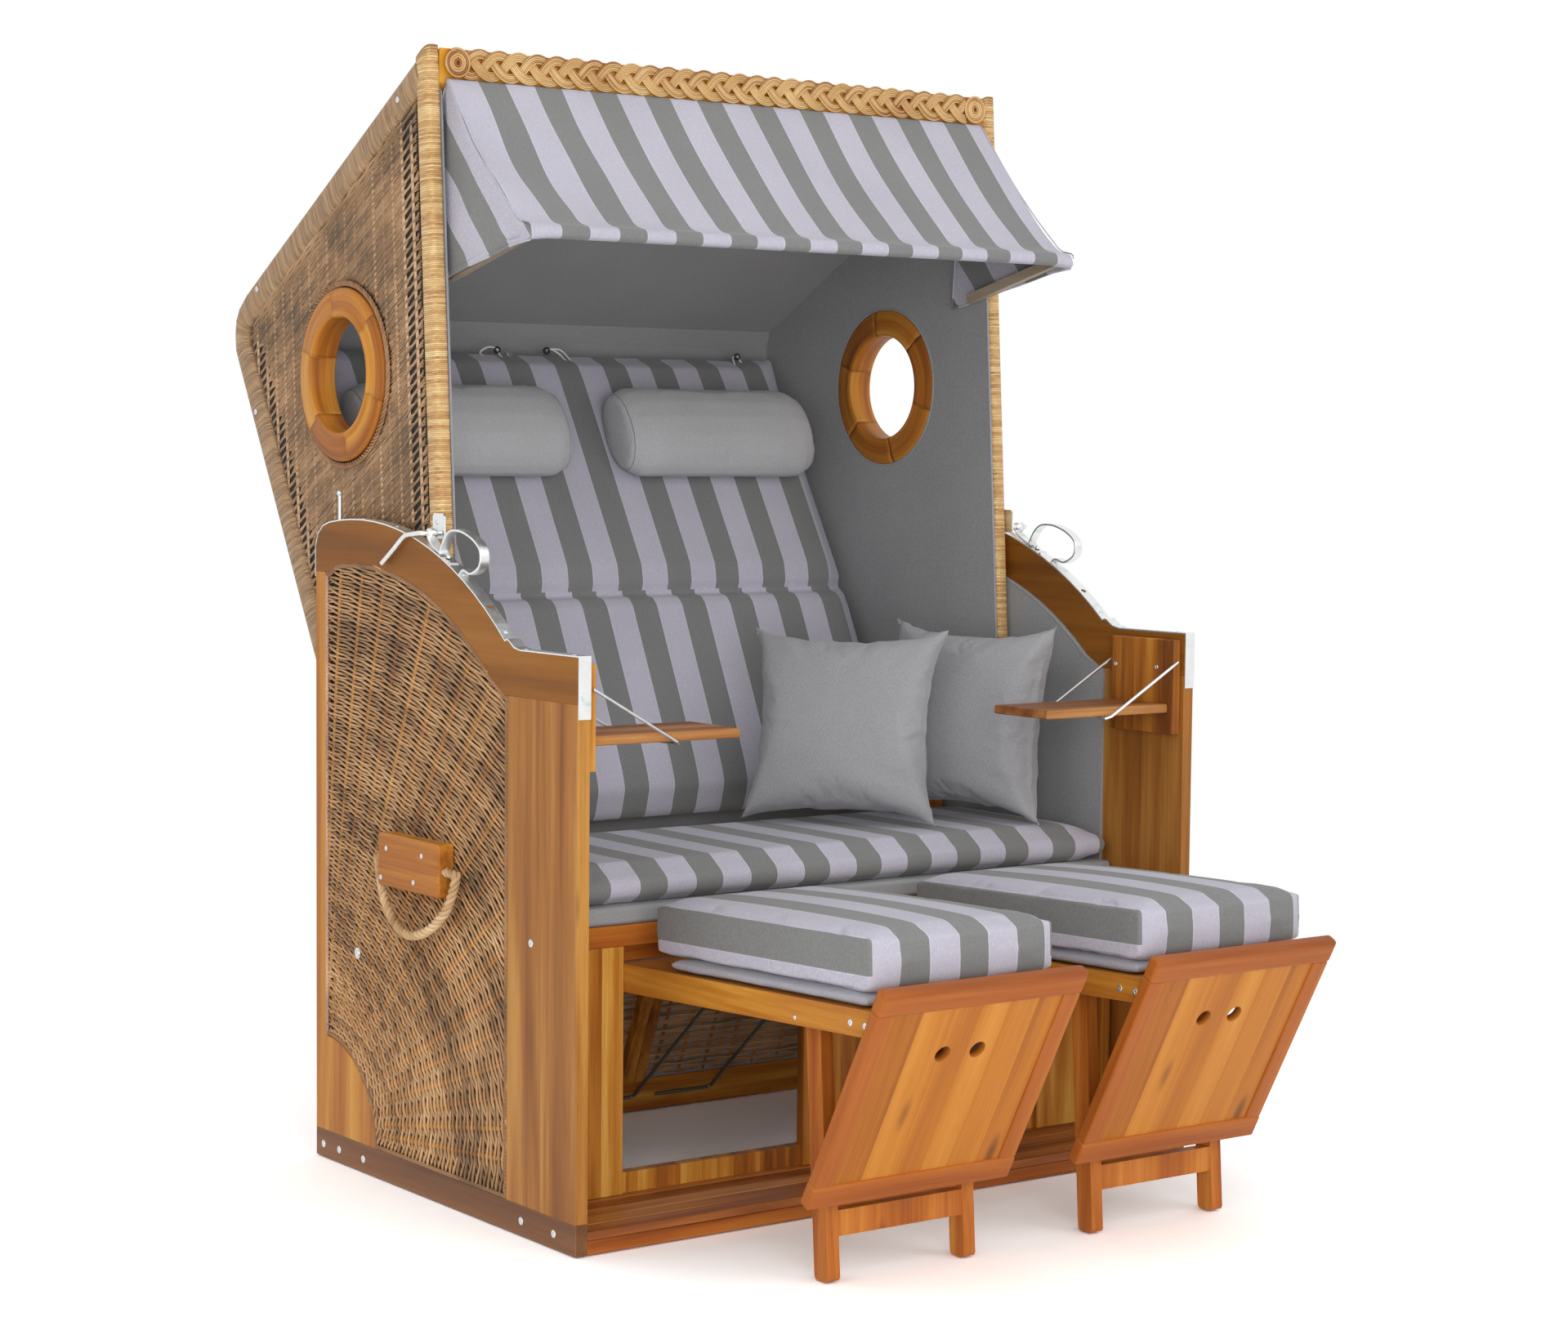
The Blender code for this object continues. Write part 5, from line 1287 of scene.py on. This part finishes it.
def awning():
    edge = AWN_EDGE + AWN_HEM
    verts, faces = [], []
    across, rows = 120, len(edge)
    for i in range(across + 1):
        x = -AWN_HALF + 2 * AWN_HALF * i / across
        near = max(0.0, 1 - (x + AWN_HALF) / 0.30)
        far = max(0.0, 1 - (AWN_HALF - x) / 0.22)
        for k, (y, z) in enumerate(edge):
            t = k / (len(AWN_EDGE) + 2)
            free = math.sin(math.pi * min(1.0, t)) if t < 1 else 0.0
            bow = 2.8 * MM * math.sin(x * 17 + 4 * t + 0.4) * math.sin(x * 5.1 + 1)
            fold = near * 6.5 * MM * math.sin(9.0 * (x + AWN_HALF) * 3.0 - 7.5 * t + 0.6)
            fold += far * 3.0 * MM * math.sin(8.0 * (AWN_HALF - x) * 3.0 + 5.0 * t)
            crease = 1.1 * MM * math.sin(x * 46 + 9 * t) * math.exp(-((t - 0.82) / 0.10) ** 2)
            lift = (bow + fold + crease) * free
            droop = 4.0 * MM * max(0.0, 1 - (AWN_HALF - abs(x)) / 0.035) if k >= len(AWN_EDGE) + 4 else 0.0
            verts.append(at(x, y - 0.70 * lift, z + 0.70 * lift - droop))
    for i in range(across):
        for k in range(rows - 1):
            a = i * rows + k
            faces.append((a, a + 1, a + rows + 1, a + rows))
    cloth_faces = len(faces)
    seam_rows = len(AWN_EDGE) + 7
    flap_steps = 14
    for s in (-1, 1):
        first = 0 if s < 0 else across * rows
        grid = []
        for k in range(seam_rows):
            line = [first + k]
            t = k / (seam_rows - 1)
            if t < 0.55:
                target = along(AWN_FAR, t / 0.55)
            else:
                target = along([AWN_FAR[-1]] + AWN_LOW, (t - 0.55) / 0.45)
            start = Vector((verts[first + k][1] + DEPTH_SHIFT, verts[first + k][2]))
            for j in range(1, flap_steps + 1):
                w = j / flap_steps
                p = start.lerp(target, w)
                folds = 2.6 * MM * math.sin(7 * t + 5 * w) + 1.6 * MM * math.sin(19 * t - 6 * w)
                wave = math.sin(math.pi * w) * folds
                line.append(len(verts))
                verts.append(at(s * (AWN_HALF - 1.5 * MM * w - abs(wave)), p[0], p[1]))
            grid.append(line)
        for k in range(seam_rows - 1):
            for j in range(flap_steps):
                quad = (grid[k][j], grid[k + 1][j], grid[k + 1][j + 1], grid[k][j + 1])
                faces.append(quad if s > 0 else quad[::-1])
    obj = piece("awning_sheet", verts, faces, CLOTH["awning"], None)
    obj.data.materials.append(CLOTH["flap"])
    for number, face in enumerate(obj.data.polygons):
        face.material_index = 0 if number < cloth_faces else 1
    solid = obj.modifiers.new("cloth_thickness", "SOLIDIFY")
    solid.thickness = 1.4 * MM
    solid.offset = 0.0
    smooth = obj.modifiers.new("smooth", "SUBSURF")
    smooth.levels = smooth.render_levels = 1
    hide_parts("awning_cloth")
    tubes = Tubes(6)
    for s in (-1, 1):
        line = [along(AWN_FAR, t / 8) for t in range(9)]
        line += [along([AWN_FAR[-1]] + AWN_LOW, t / 14) for t in range(1, 15)]
        tubes.run([at(s * (AWN_HALF - 1.5 * MM), p[0], p[1]) for p in line], 2.1 * MM)
        tubes.run([at(s * (AWN_HALF - 1.5 * MM), p[0] * 0.955 + 0.0195, p[1] + 8 * MM) for p in line[6:-1]],
                  0.9 * MM)
        tubes.run([at(s * AWN_HALF, y - 0.6 * MM, z + 0.6 * MM) for y, z in AWN_EDGE + AWN_HEM[:6]], 1.0 * MM)
    hem = tubes.done("awning_hems", CLOTH["flap"], None)
    top, tip = at(0, *AWN_EDGE[0]), at(0, *AWN_HEM[5])
    for soft in (obj, hem):
        tuple(top)
        tuple(tip)
        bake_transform(soft)


EDGE_RUN = (Vector(AWN_HEM[0]) - Vector(AWN_EDGE[0])).normalized()
FLAP_WAY = (0.0, -EDGE_RUN[1], EDGE_RUN[0])
CLOTH["flap"] = cloth("flap_stripes", along=FLAP_WAY,
                      start=Vector(FLAP_WAY).dot(at(0, *AWN_EDGE[0])) + 42 * MM)
CLOTH["awning"] = cloth("awning_stripes_top", start=-0.4483)
awning()

# Cushions, blown up by cloth simulation from the shapes that the solids hold

SOFT = []


def soft_start(name, node, body, material, slot, voxel, cap, shrink, grow, fill, relax=1):
    """A copy of a soft solid, remeshed and drawn in a little, ready to swell.

    cap is the most that a point may move, and grow the room past the solid's box, both in millimetres.
    """
    mesh = NODES[node].data.copy()
    obj = bpy.data.objects.new(name, mesh)
    bpy.context.scene.collection.objects.link(obj)
    remesh = obj.modifiers.new("remesh", "REMESH")
    remesh.mode = "VOXEL"
    remesh.voxel_size = voxel * MM
    seen = obj.evaluated_get(bpy.context.evaluated_depsgraph_get())
    fresh = bpy.data.meshes.new_from_object(seen)
    obj.modifiers.clear()
    obj.data = fresh
    bm = bmesh.new()
    bm.from_mesh(fresh)
    for _ in range(relax):
        bmesh.ops.smooth_vert(bm, verts=bm.verts, factor=0.5,
                              use_axis_x=True, use_axis_y=True, use_axis_z=True)
    bm.normal_update()
    for v in bm.verts:
        v.co -= v.normal * (shrink * MM)
    bm.to_mesh(fresh)
    bm.free()
    fresh.materials.clear()
    fresh.materials.append(material)
    fresh.polygons.foreach_set("use_smooth", [True] * len(fresh.polygons))
    low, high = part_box(node)
    low = [a - g * MM for a, g in zip(low, grow[0])]
    high = [a + g * MM for a, g in zip(high, grow[1])]
    SOFT.append({"obj": obj, "node": node, "body": body, "slot": slot,
                 "cap": cap * MM, "low": low, "high": high,
                 "fill": fill})
    return obj


def swell():
    """Runs the cloth of every cushion side by side, and keeps each point near where it was."""
    for soft in SOFT:
        made = soft["obj"].modifiers.new("Cloth", "CLOTH")
        c = made.settings
        c.quality = 4
        c.mass = 0.25
        c.tension_stiffness = c.compression_stiffness = 12
        c.shear_stiffness = 5
        c.bending_stiffness = 0.6
        c.use_pressure = True
        c.uniform_pressure_force = 4.0
        c.effector_weights.gravity = 0
        made.point_cache.frame_start, made.point_cache.frame_end = 1, 20
    for frame_number in range(1, 21):
        bpy.context.scene.frame_set(frame_number)
    graph = bpy.context.evaluated_depsgraph_get()
    for soft in SOFT:
        mesh = soft["obj"].data
        blown = soft["obj"].evaluated_get(graph).data
        moved = [0.0] * (3 * len(blown.vertices))
        blown.vertices.foreach_get("co", moved)
        still = [0.0] * len(moved)
        mesh.vertices.foreach_get("co", still)
        for i in range(0, len(still), 3):
            step = Vector(moved[i:i + 3]) - Vector(still[i:i + 3])
            if step.length > soft["cap"]:
                step *= soft["cap"] / step.length
            for k in range(3):
                still[i + k] = still[i + k] + step[k]
        soft["obj"].modifiers.clear()
        mesh.vertices.foreach_set("co", still)
    bpy.context.scene.frame_set(1)
    for soft in SOFT:
        mesh = soft["obj"].data
        for v in mesh.vertices:
            for k in range(3):
                v.co[k] = min(max(v.co[k], soft["low"][k]), soft["high"][k])
        mesh.update()


def soft_finish():
    for soft in SOFT:
        obj = soft["obj"]
        smooth = obj.modifiers.new("smooth", "SUBSURF")
        smooth.levels = smooth.render_levels = 1
        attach(obj, soft["body"])
        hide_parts(soft["node"])


RAIL_TILT = 0.0348
FOOT_X, FOOT_SEAM, FOOT_STRIPE, FOOT_BAND = 0.231, 6 * MM, 48.9 * MM, 0.409
FOOT_CLOTH = {}
for word, first in (("left", -0.3324), ("right", 0.1296)):
    low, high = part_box(f"footrest_cushion_{word}")
    ends = ((0, RAIL_TILT, 1), FOOT_BAND, (low[0] + high[0]) / 2, (high[0] - low[0]) / 2 - FOOT_SEAM)
    FOOT_CLOTH[word] = cloth(f"foot_stripes_{word}", start=first, side=ends, pitch=FOOT_STRIPE)

seat = soft_start("seat_pad", "seat_cushion", "base", CLOTH["seat"], "striped_cloth", 6, 7, 0.8,
                  ((0, 4, 0), (0, 0, 4)), 0.7)
back = soft_start("back_pad", "back_cushion", "hood", CLOTH["back"], "striped_cloth", 6, 9, 0.5,
                  ((4, 8, 0), (4, 0, 7)), 0.7)
for s, word in SIDES:
    foot = f"footrest_{word}"
    soft_start(f"neck_roll_{word}", f"headrest_{word}", "hood", CLOTH["neck"], "grey_cloth", 4.5, 4, 0.3,
               ((4, 4, 4), (4, 0, 4)), 0.9)
    soft_start(f"scatter_{word}", f"pillow_{word}", "base", CLOTH["plain"], "grey_cloth", 4.5, 13, 3.0,
               ((4, 4, 0), (4, 4, 3)), 0.6, relax=2)
    soft_start(f"foot_pad_{word}", f"footrest_cushion_{word}", foot, FOOT_CLOTH[word],
               "striped_cloth", 5, 4.5, 0.3,
               ((4, 7, 0), (6, 3, 9)), 0.85)
    soft_start(f"foot_sheet_{word}", f"footrest_pad_{word}", foot, CLOTH["pad"], "pad_cloth", 4.5, 3, 1.0,
               ((0, 0, 0), (0, 0, 0)), 0.5, relax=2)
swell()

# Sewn creases and wrinkles, after the swelling

CREASE_HALF, CREASE_DEEP = 7 * MM, 11 * MM
BACK_RISE_Z, BACK_RISE, BACK_RISE_OVER = 1.150, 7 * MM, 90 * MM
ROLL_TALLER, ROLL_DEEPER = 1.10, 1.07


def each_vertex(obj, shape):
    mesh = obj.data
    mesh.update()
    normals = [v.normal.copy() for v in mesh.vertices]
    for v, n in zip(mesh.vertices, normals):
        v.co = shape(v.co.copy(), n)
    mesh.update()


def back_crease(p, n):
    if n.y < -0.2:
        away = (p.z - CREASE_Z) / CREASE_HALF
        p -= n * (CREASE_DEEP * math.exp(-away * away))
        p += n * (1.2 * MM * math.sin(p.x * 6.3) * math.sin(p.z * 9.0))
    return p


def back_rise(p, n):
    rise = max(0.0, min(1.0, (p.z - BACK_RISE_Z) / BACK_RISE_OVER))
    p.z += BACK_RISE * rise * rise
    return p


def foot_crown(low, high):
    """A cushion's top and front swell a little, and its ends stand flat."""
    middle, half = (low + high) / 2, (high - low) / 2

    def shape(p, n):
        u, v = (p.x - middle.x) / half.x, (p.y - middle.y) / half.y
        if n.z > 0.4:
            p.z += 7 * MM * max(0.0, 1 - u * u) * max(0.0, 1 - v * v) * n.z
        elif n.y < -0.4:
            p.y -= 4 * MM * max(0.0, 1 - u * u)
        if abs(n.x) > 0.3:
            flat = min(1.0, (abs(n.x) - 0.3) / 0.4)
            p.x += (middle.x + math.copysign(half.x - 1 * MM, n.x) - p.x) * flat
        return p

    return shape


def fuller_roll(low, high):
    middle = (low.z + high.z) / 2

    def shape(p, n):
        p.z = middle + (p.z - middle) * ROLL_TALLER
        p.y = high.y + (p.y - high.y) * ROLL_DEEPER
        return p

    return shape


def seat_hollows(p, n):
    if n.z > 0.5:
        p += n * (1.3 * MM * math.sin(p.x * 5.0 + 0.6) * math.sin(p.y * 8.0))
    return p


PILLOW_HALF = 0.164


def pillow_folds(low, high, seed):
    """Short gathers that run in from the seam, deeper near the corners."""
    def shape(p, n):
        d = p - (low + high) / 2
        flat = Vector((d.x, d.y, 0))
        away = max(abs(d.z), flat.length) / PILLOW_HALF
        rim = max(0.0, min(1.0, (away - 0.45) / 0.5))
        a = math.atan2(d.z, flat.length * (1 if d.x * 0.64 - d.y * 0.77 > 0 else -1))
        ripple = math.sin(a * 17 + seed) * 0.6 + math.sin(a * 31 + 2 * seed) * 0.4
        drape = math.sin(d.z * 24 + d.x * 13 + seed) * math.sin(d.x * 19 - seed)
        p += n * (1.7 * MM * ripple * rim + 1.6 * MM * drape * (1 - rim))
        return p

    return shape


each_vertex(back, back_crease)
each_vertex(back, back_rise)
each_vertex(seat, seat_hollows)
for s, word in SIDES:
    for node, shape in ((f"footrest_cushion_{word}", foot_crown), (f"headrest_{word}", fuller_roll),
                        (f"pillow_{word}", lambda low, high: pillow_folds(low, high, 1.3 if s < 0 else 2.9))):
        soft = next(item for item in SOFT if item["node"] == node)
        each_vertex(soft["obj"], shape(*(Vector(p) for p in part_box(node))))
soft_finish()


def seam_ring(name, node, body, cut, material, r):
    """A fine sewn ridge where a plane cuts a soft piece: cut is its point and direction."""
    soft = next(item for item in SOFT if item["node"] == node)
    bm = bmesh.new()
    bm.from_mesh(soft["obj"].data)
    made = bmesh.ops.bisect_plane(bm, geom=bm.verts[:] + bm.edges[:] + bm.faces[:],
                                  plane_co=cut[0], plane_no=cut[1])
    edges = [g for g in made["geom_cut"] if isinstance(g, bmesh.types.BMEdge)]
    links = {}
    for e in edges:
        for v, w in (e.verts, reversed(e.verts)):
            links.setdefault(v, []).append(w)
    tubes = Tubes(6)
    left = set(links)
    while left:
        start = min(left, key=lambda v: (round(v.co.z, 6), round(v.co.x, 6), round(v.co.y, 6)))
        loop, last, now = [start], None, start
        left.discard(start)
        while True:
            step = [v for v in links[now] if v is not last and v in left]
            if not step:
                break
            last, now = now, step[0]
            left.discard(now)
            loop.append(now)
        if len(loop) > 12:
            tubes.run([v.co.copy() for v in loop[::2]], r, closed=True)
    bm.free()
    return tubes.done(name, material, body)


SEAM_CLOTH, ROLL_SEAM = cloth("seam_grey", rgb(146, 146, 149)), 9 * MM
for s, word in SIDES:
    low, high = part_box(f"headrest_{word}")
    for end, x in zip(("inner", "outer"), (low[0] + ROLL_SEAM, high[0] - ROLL_SEAM)[::s]):
        seam_ring(f"neck_seam_{end}_{word}", f"headrest_{word}", "hood", ((x, 0, 0), (1, 0, 0)),
                  SEAM_CLOTH, 0.9 * MM)

# Footrest panels and deck: separate boards with eased edges


def boards(name, items, place, material, body):
    """Planks in a local frame: each has its low and high corner, its grain axis and its edge rounding."""
    verts, faces, uv = [], [], []
    for number, (lo, hi, grain, edge) in enumerate(items):
        bm = bmesh.new()
        bmesh.ops.create_cube(bm, size=1.0)
        for v in bm.verts:
            v.co = Vector([a + (b - a) * (c + 0.5) for a, b, c in zip(lo, hi, v.co)])
        bmesh.ops.bevel(bm, geom=bm.edges[:], offset=edge, segments=3, profile=0.5, affect="EDGES")
        bm.verts.index_update()
        base, cross = len(verts), 1 - grain
        for v in bm.verts:
            verts.append(place(*v.co))
            uv.append((v.co[grain] + 0.37 * number,
                       0.5 * number + 0.25 + v.co[cross] - (lo[cross] + hi[cross]) / 2 + 0.4 * v.co[2]))
        faces += [[base + v.index for v in f.verts] for f in bm.faces]
        bm.free()
    return normals_out(piece(name, verts, faces, material, body, uv, smooth=False))


PANEL_TOP_AT, PANEL_LONG, PANEL_HALF, PANEL_THICK = (-0.469, 0.4105), 0.3453, 0.1705, 20 * MM
PANEL_DOWN, PANEL_IN = (0.4662, -0.8847), (0.8847, 0.4662)
PANEL_RIM, PANEL_SIDE, PANEL_SUNK = 36 * MM, 30 * MM, 4 * MM
FINGER_DOWN, FINGER_OFF, FINGER_APART, FINGER_R = 0.111, -4 * MM, 29 * MM, 11.5 * MM


@both
def panel(s, word):
    middle = s * FOOT_X

    def place(across, down, back):
        return at(middle + across, PANEL_TOP_AT[0] + PANEL_DOWN[0] * down + PANEL_IN[0] * back,
                  PANEL_TOP_AT[1] + PANEL_DOWN[1] * down + PANEL_IN[1] * back)

    side = PANEL_HALF - PANEL_SIDE
    items = [((-PANEL_HALF, 0, 0), (PANEL_HALF, PANEL_RIM, PANEL_THICK), 0, 5.0 * MM),
             ((-PANEL_HALF, PANEL_LONG - PANEL_RIM, 0), (PANEL_HALF, PANEL_LONG, PANEL_THICK), 0, 4.0 * MM)]
    for a, b in ((-PANEL_HALF + 1.0 * MM, -side), (side, PANEL_HALF - 1.0 * MM)):
        items.append(((a, PANEL_RIM - 1.2 * MM, 1.0 * MM),
                      (b, PANEL_LONG - PANEL_RIM + 1.2 * MM, 19 * MM), 1, 3.0 * MM))
    body = f"footrest_{word}"
    rim = boards(f"panel_rim_{word}", items, place, WOOD["panel"], body)
    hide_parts(f"footrest_panel_{word}")
    items = []
    shares = (0.0, 0.17, 0.36, 0.52, 0.69, 0.86, 1.0)
    for a, b in zip(shares, shares[1:]):
        items.append(((-side + 2 * side * a + 0.15 * MM, PANEL_RIM - 1.2 * MM, PANEL_SUNK),
                      (-side + 2 * side * b - 0.15 * MM, PANEL_LONG - PANEL_RIM + 1.2 * MM,
                       16 * MM), 1, 0.5 * MM))
    obj = boards(f"panel_boards_{word}", items, place, WOOD["fill"], body)
    verts, faces = [], []
    rings = ((-6 * MM, FINGER_R + 8 * MM), (PANEL_SUNK - 1 * MM, FINGER_R + 2.2 * MM),
             (PANEL_SUNK + 1.2 * MM, FINGER_R),
             (30 * MM, FINGER_R))
    for k in (-1, 1):
        base = len(verts)
        for back, r in rings:
            verts += [place(FINGER_OFF + k * FINGER_APART + r * math.cos(a), FINGER_DOWN + r * math.sin(a),
                            back)
                      for a in circle(28)]
        faces += ring_faces(base, len(rings), 28)
    drill = normals_out(piece(f"finger_drill_{word}", verts, faces, WOOD["fill"], None))
    cut = obj.modifiers.new("finger_holes", "BOOLEAN")
    cut.operation, cut.solver, cut.object = "DIFFERENCE", "EXACT", drill
    bpy.context.view_layer.update()
    made = bpy.data.meshes.new_from_object(obj.evaluated_get(bpy.context.evaluated_depsgraph_get()))
    obj.modifiers.clear()
    obj.data = made
    bpy.data.objects.remove(drill)

DECK_LOW, DECK_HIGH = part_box("deck")
DECK_PLANKS, DECK_GAP = 5, 0.4 * MM
plank = (DECK_HIGH[1] - DECK_LOW[1]) / DECK_PLANKS
planks = [((DECK_LOW[0], DECK_LOW[1] + k * plank + DECK_GAP * (k > 0), DECK_LOW[2]),
           (DECK_HIGH[0], DECK_LOW[1] + (k + 1) * plank - DECK_GAP, DECK_HIGH[2]), 0, 1.8 * MM)
          for k in range(DECK_PLANKS)]
deck = boards("deck_planks", planks, lambda *p: Vector(p), WOOD["planks"], "base")
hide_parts("deck")

# Latches: a bent rod, a hub on the plate, a lever down to the strip, and a loop of flat steel

BAR_AT = (0.408, 0.965)
LATCH_X = 0.5505
LATCH_HALF = 7.6 * MM
ROD_R, HUB_R, HUB_HALF, PEG_R = 3.8 * MM, 7.5 * MM, 8 * MM, 3.4 * MM


def strip_point(r, angle):
    return arc(PIVOT, r, angle, angle, 1)[0]


def rod(name, paths, material, body):
    """Round bars with domed ends: each is its points and radius."""
    tubes = Tubes(16)
    for path, r in paths:
        pts = [Vector(p) for p in path]
        first, last = (pts[1] - pts[0]).normalized(), (pts[-2] - pts[-1]).normalized()
        tubes.run([pts[0], pts[0] + first * r * 0.3] + pts[1:-1] + [pts[-1] + last * r * 0.3, pts[-1]], r)
    return tubes.done(name, material, body)


@both
def latch(s, word):
    body = f"latch_{word}"
    x = s * LATCH_X
    ring = [strip_point(0.6504, 21.3), (0.3610, 0.9590), (0.3440, 0.9697), (0.3190, 0.9703), (0.2975, 0.9655),
            (0.2780, 0.9575), (0.2640, 0.9470), (0.2605, 0.9370), (0.2620, 0.9270),
             (0.2690, 0.9190), (0.2890, 0.9112),
            (0.3095, 0.9155), (0.3280, 0.9050), strip_point(0.6516, 24.0)]
    line = rounded([Vector(p) for p in ring], 3 * MM)
    wound_bar(f"latch_loop_{word}", line, 1.7 * MM, LATCH_HALF, x, ZINC, body, sides=20, power=7.0)
    lever = [BAR_AT, strip_point(0.6620, 17.9), strip_point(0.6560, 19.0), strip_point(0.6536, 20.6),
             strip_point(0.6532, 22.0)]
    line = rounded([Vector(p) for p in lever], 3 * MM)
    wound_bar(f"latch_lever_{word}", line, 1.4 * MM, 8 * MM, x, ZINC, body, sides=20, power=7.0)
    bend = [(0.5340, *BAR_AT), (0.5500, *BAR_AT), (0.5600, *BAR_AT), (0.5650, 0.4095, 0.965),
            (0.5670, 0.4150, 0.965),
            (0.5670, 0.4350, 0.9628), (0.5670, 0.4520, 0.9608), (0.5670, 0.4640, 0.9560),
            (0.5670, 0.4950, 0.9360),
            (0.5670, 0.5260, 0.9170)]
    bar = rounded([at(s * px, y, z) for px, y, z in bend], 4 * MM)
    peg = [Vector(at(x, *strip_point(r, 22.7))) for r in (0.6507, 0.6560)]
    hub = [at(x + k * HUB_HALF, *BAR_AT) for k in (-1, 0, 1)]
    peg.insert(1, (peg[0] + peg[1]) / 2)
    fit = rod(f"latch_rod_{word}", [(bar, ROD_R), (hub, HUB_R), (peg, PEG_R)], ZINC,
              body)
    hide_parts(f"latch_{word}")

# Screws and bolts


def heads(name, spots, body, material):
    """Domed heads with a cross recess: each is its centre, the way it faces, its radius and its height."""
    verts, faces = [], []
    rings = (0.06, 0.18, 0.32, 0.46, 0.60, 0.70, 0.84, 0.94, 1.0)
    for centre, out, r, tall in spots:
        out = Vector(out).normalized()
        a = out.cross(Vector((0.21, 0.34, 0.92))).normalized()
        b = out.cross(a)
        base = len(verts)
        for k, share in enumerate(rings + (1.0,)):
            rise = tall * math.sqrt(max(0.0, 1 - 0.88 * share * share)) if k < len(rings) else -0.4 * MM
            for t in circle(24):
                c, d = share * math.cos(t), share * math.sin(t)
                sunk = tall * 0.7 if min(abs(c), abs(d)) < 0.14 and share < 0.65 and tall > 1 * MM else 0.0
                verts.append(centre + a * (c * r) + b * (d * r) + out * (rise - sunk))
        faces += ring_faces(base, len(rings) + 1, 24)
    normals_out(piece(name, verts, faces, material, body))


SCREW_R, BOLT_R, WASHER_R = 3.8 * MM, 5.6 * MM, 8.6 * MM
BOARD_BOLT, PLATE_SCREW = (0.118, 0.412), (0.4234, 0.9800)
BASE_BOLTS = ((0.721, 0.020), (0.671, 0.020), (0.595, 0.020), (0.141, 0.021), (0.056, 0.021))
BLOCK_SCREWS = ((0.4778, 0.5050), (0.3744, 0.5050), (0.4940, 0.4610), (0.3980, 0.4640))
STRIP_SCREWS = ((0.5080, 0.9717), (0.3234, 0.8953), (0.6100, 0.9810))
CAP_SCREWS = ((0.2024, 0.8144), (0.1483, 0.8120), (0.0250, 0.8030))
BAND_SCREWS = ((0.5432, 1.592), (0.9962, 1.3327), (1.0013, 1.1397))
BRACKET_SCREWS = ((0.1398, 0.7576), (0.0462, 0.7584))
RAIL_BOLTS = ((-0.375, 0.362, 4.8 * MM), (-0.406, 0.362, 4.8 * MM), (-0.256, 0.350, 3.2 * MM))


@both
def screws(s, word):
    def on(node, start, way, r, tall):
        return (*on_face(f"{node}_{word}", start, way), r, tall)

    def outside(node, y, z, r):
        return on(node, at(s * 0.75, y, z), (-s, 0, 0), r, 1.6 * MM)

    base = [outside("front_board", *BOARD_BOLT, BOLT_R)]
    base += [outside("side_frame", y, z, BOLT_R) for y, z in BASE_BOLTS]
    base += [outside("carry_block", y, z, SCREW_R) for y, z in BLOCK_SCREWS]
    x = s * LATCH_X
    for y, z in STRIP_SCREWS:
        ray = Vector((0, y - PIVOT[0], z - PIVOT[1])).normalized()
        base.append(on("strip", at(x, y, z) + ray * 0.05, -ray, SCREW_R, 1.2 * MM))
    base += [on("strip", at(x, y, z + 0.05), (0, 0, -1), SCREW_R, 1.2 * MM) for y, z in CAP_SCREWS]
    pivot = at(s * 0.5606, *PIVOT)
    base += [(pivot, (s, 0, 0), WASHER_R, 0.9 * MM),
             (pivot + Vector((s * 0.6 * MM, 0, 0)), (s, 0, 0), BOLT_R, 3.0 * MM)]
    base += [on("table_bracket", at(s * 0.48, y, z), (s, 0, 0), SCREW_R, 1.6 * MM) for y, z in BRACKET_SCREWS]
    heads(f"base_screws_{word}", base, "base", SCREW)
    hood = [(at(s * (BAR_X + BAR_T - 0.2 * MM), y, z), (s, 0, 0), 4.6 * MM, 1.8 * MM) for y, z in BAND_SCREWS]
    hood.append((at(s * 0.5337, *PLATE_SCREW), (s, 0, 0), SCREW_R, 1.4 * MM))
    heads(f"hood_screws_{word}", hood, "hood", SCREW)
    foot = [on("footrest_frame", at(s * FOOT_X + k * 0.25, y, z), (-k, 0, 0), r, 1.8 * MM)
            for k in (-1, 1) for y, z, r in RAIL_BOLTS]
    heads(f"foot_screws_{word}", foot, f"footrest_{word}", SCREW)


# Black knots and a hook at the top of the back, where the elastic loops are tied

KNOT_CORD = cloth("black_knot_cord", rgb(38, 38, 42))
KNOTS = ((-0.0852, 1.2490), (0.0115, 1.2500), (0.4047, 1.2490))
knots = Tubes(8)
for x, z in KNOTS:
    middle = on_back(x, 0.92, z - 2 * MM)
    for turn, lean in ((0.0, 0.5), (1.9, -0.4), (3.6, 0.2)):
        flat = [Vector((math.cos(a) * 5.0, math.sin(a) * lean * 3.0, math.sin(a) * 4.2)) * MM
                for a in circle(24)]
        knots.run([middle + Matrix.Rotation(turn, 3, "Y") @ p for p in flat], 1.9 * MM, closed=True)
knots.done("neck_knots", KNOT_CORD, "hood")
hook = Tubes(8)
root = on_back(KNOTS[0][0] + 0.018, 0.92, 1.2440)
HOOK = ((0, 0, 6), (-1, -3, 2), (0, -5, -4), (4, -5, -7), (8, -4, -4), (8, -2, 2))
hook.run(rounded([root + Vector(p) * MM for p in HOOK], 1.5 * MM), 1.0 * MM)
hook.done("neck_hook", SCREW, "hood")
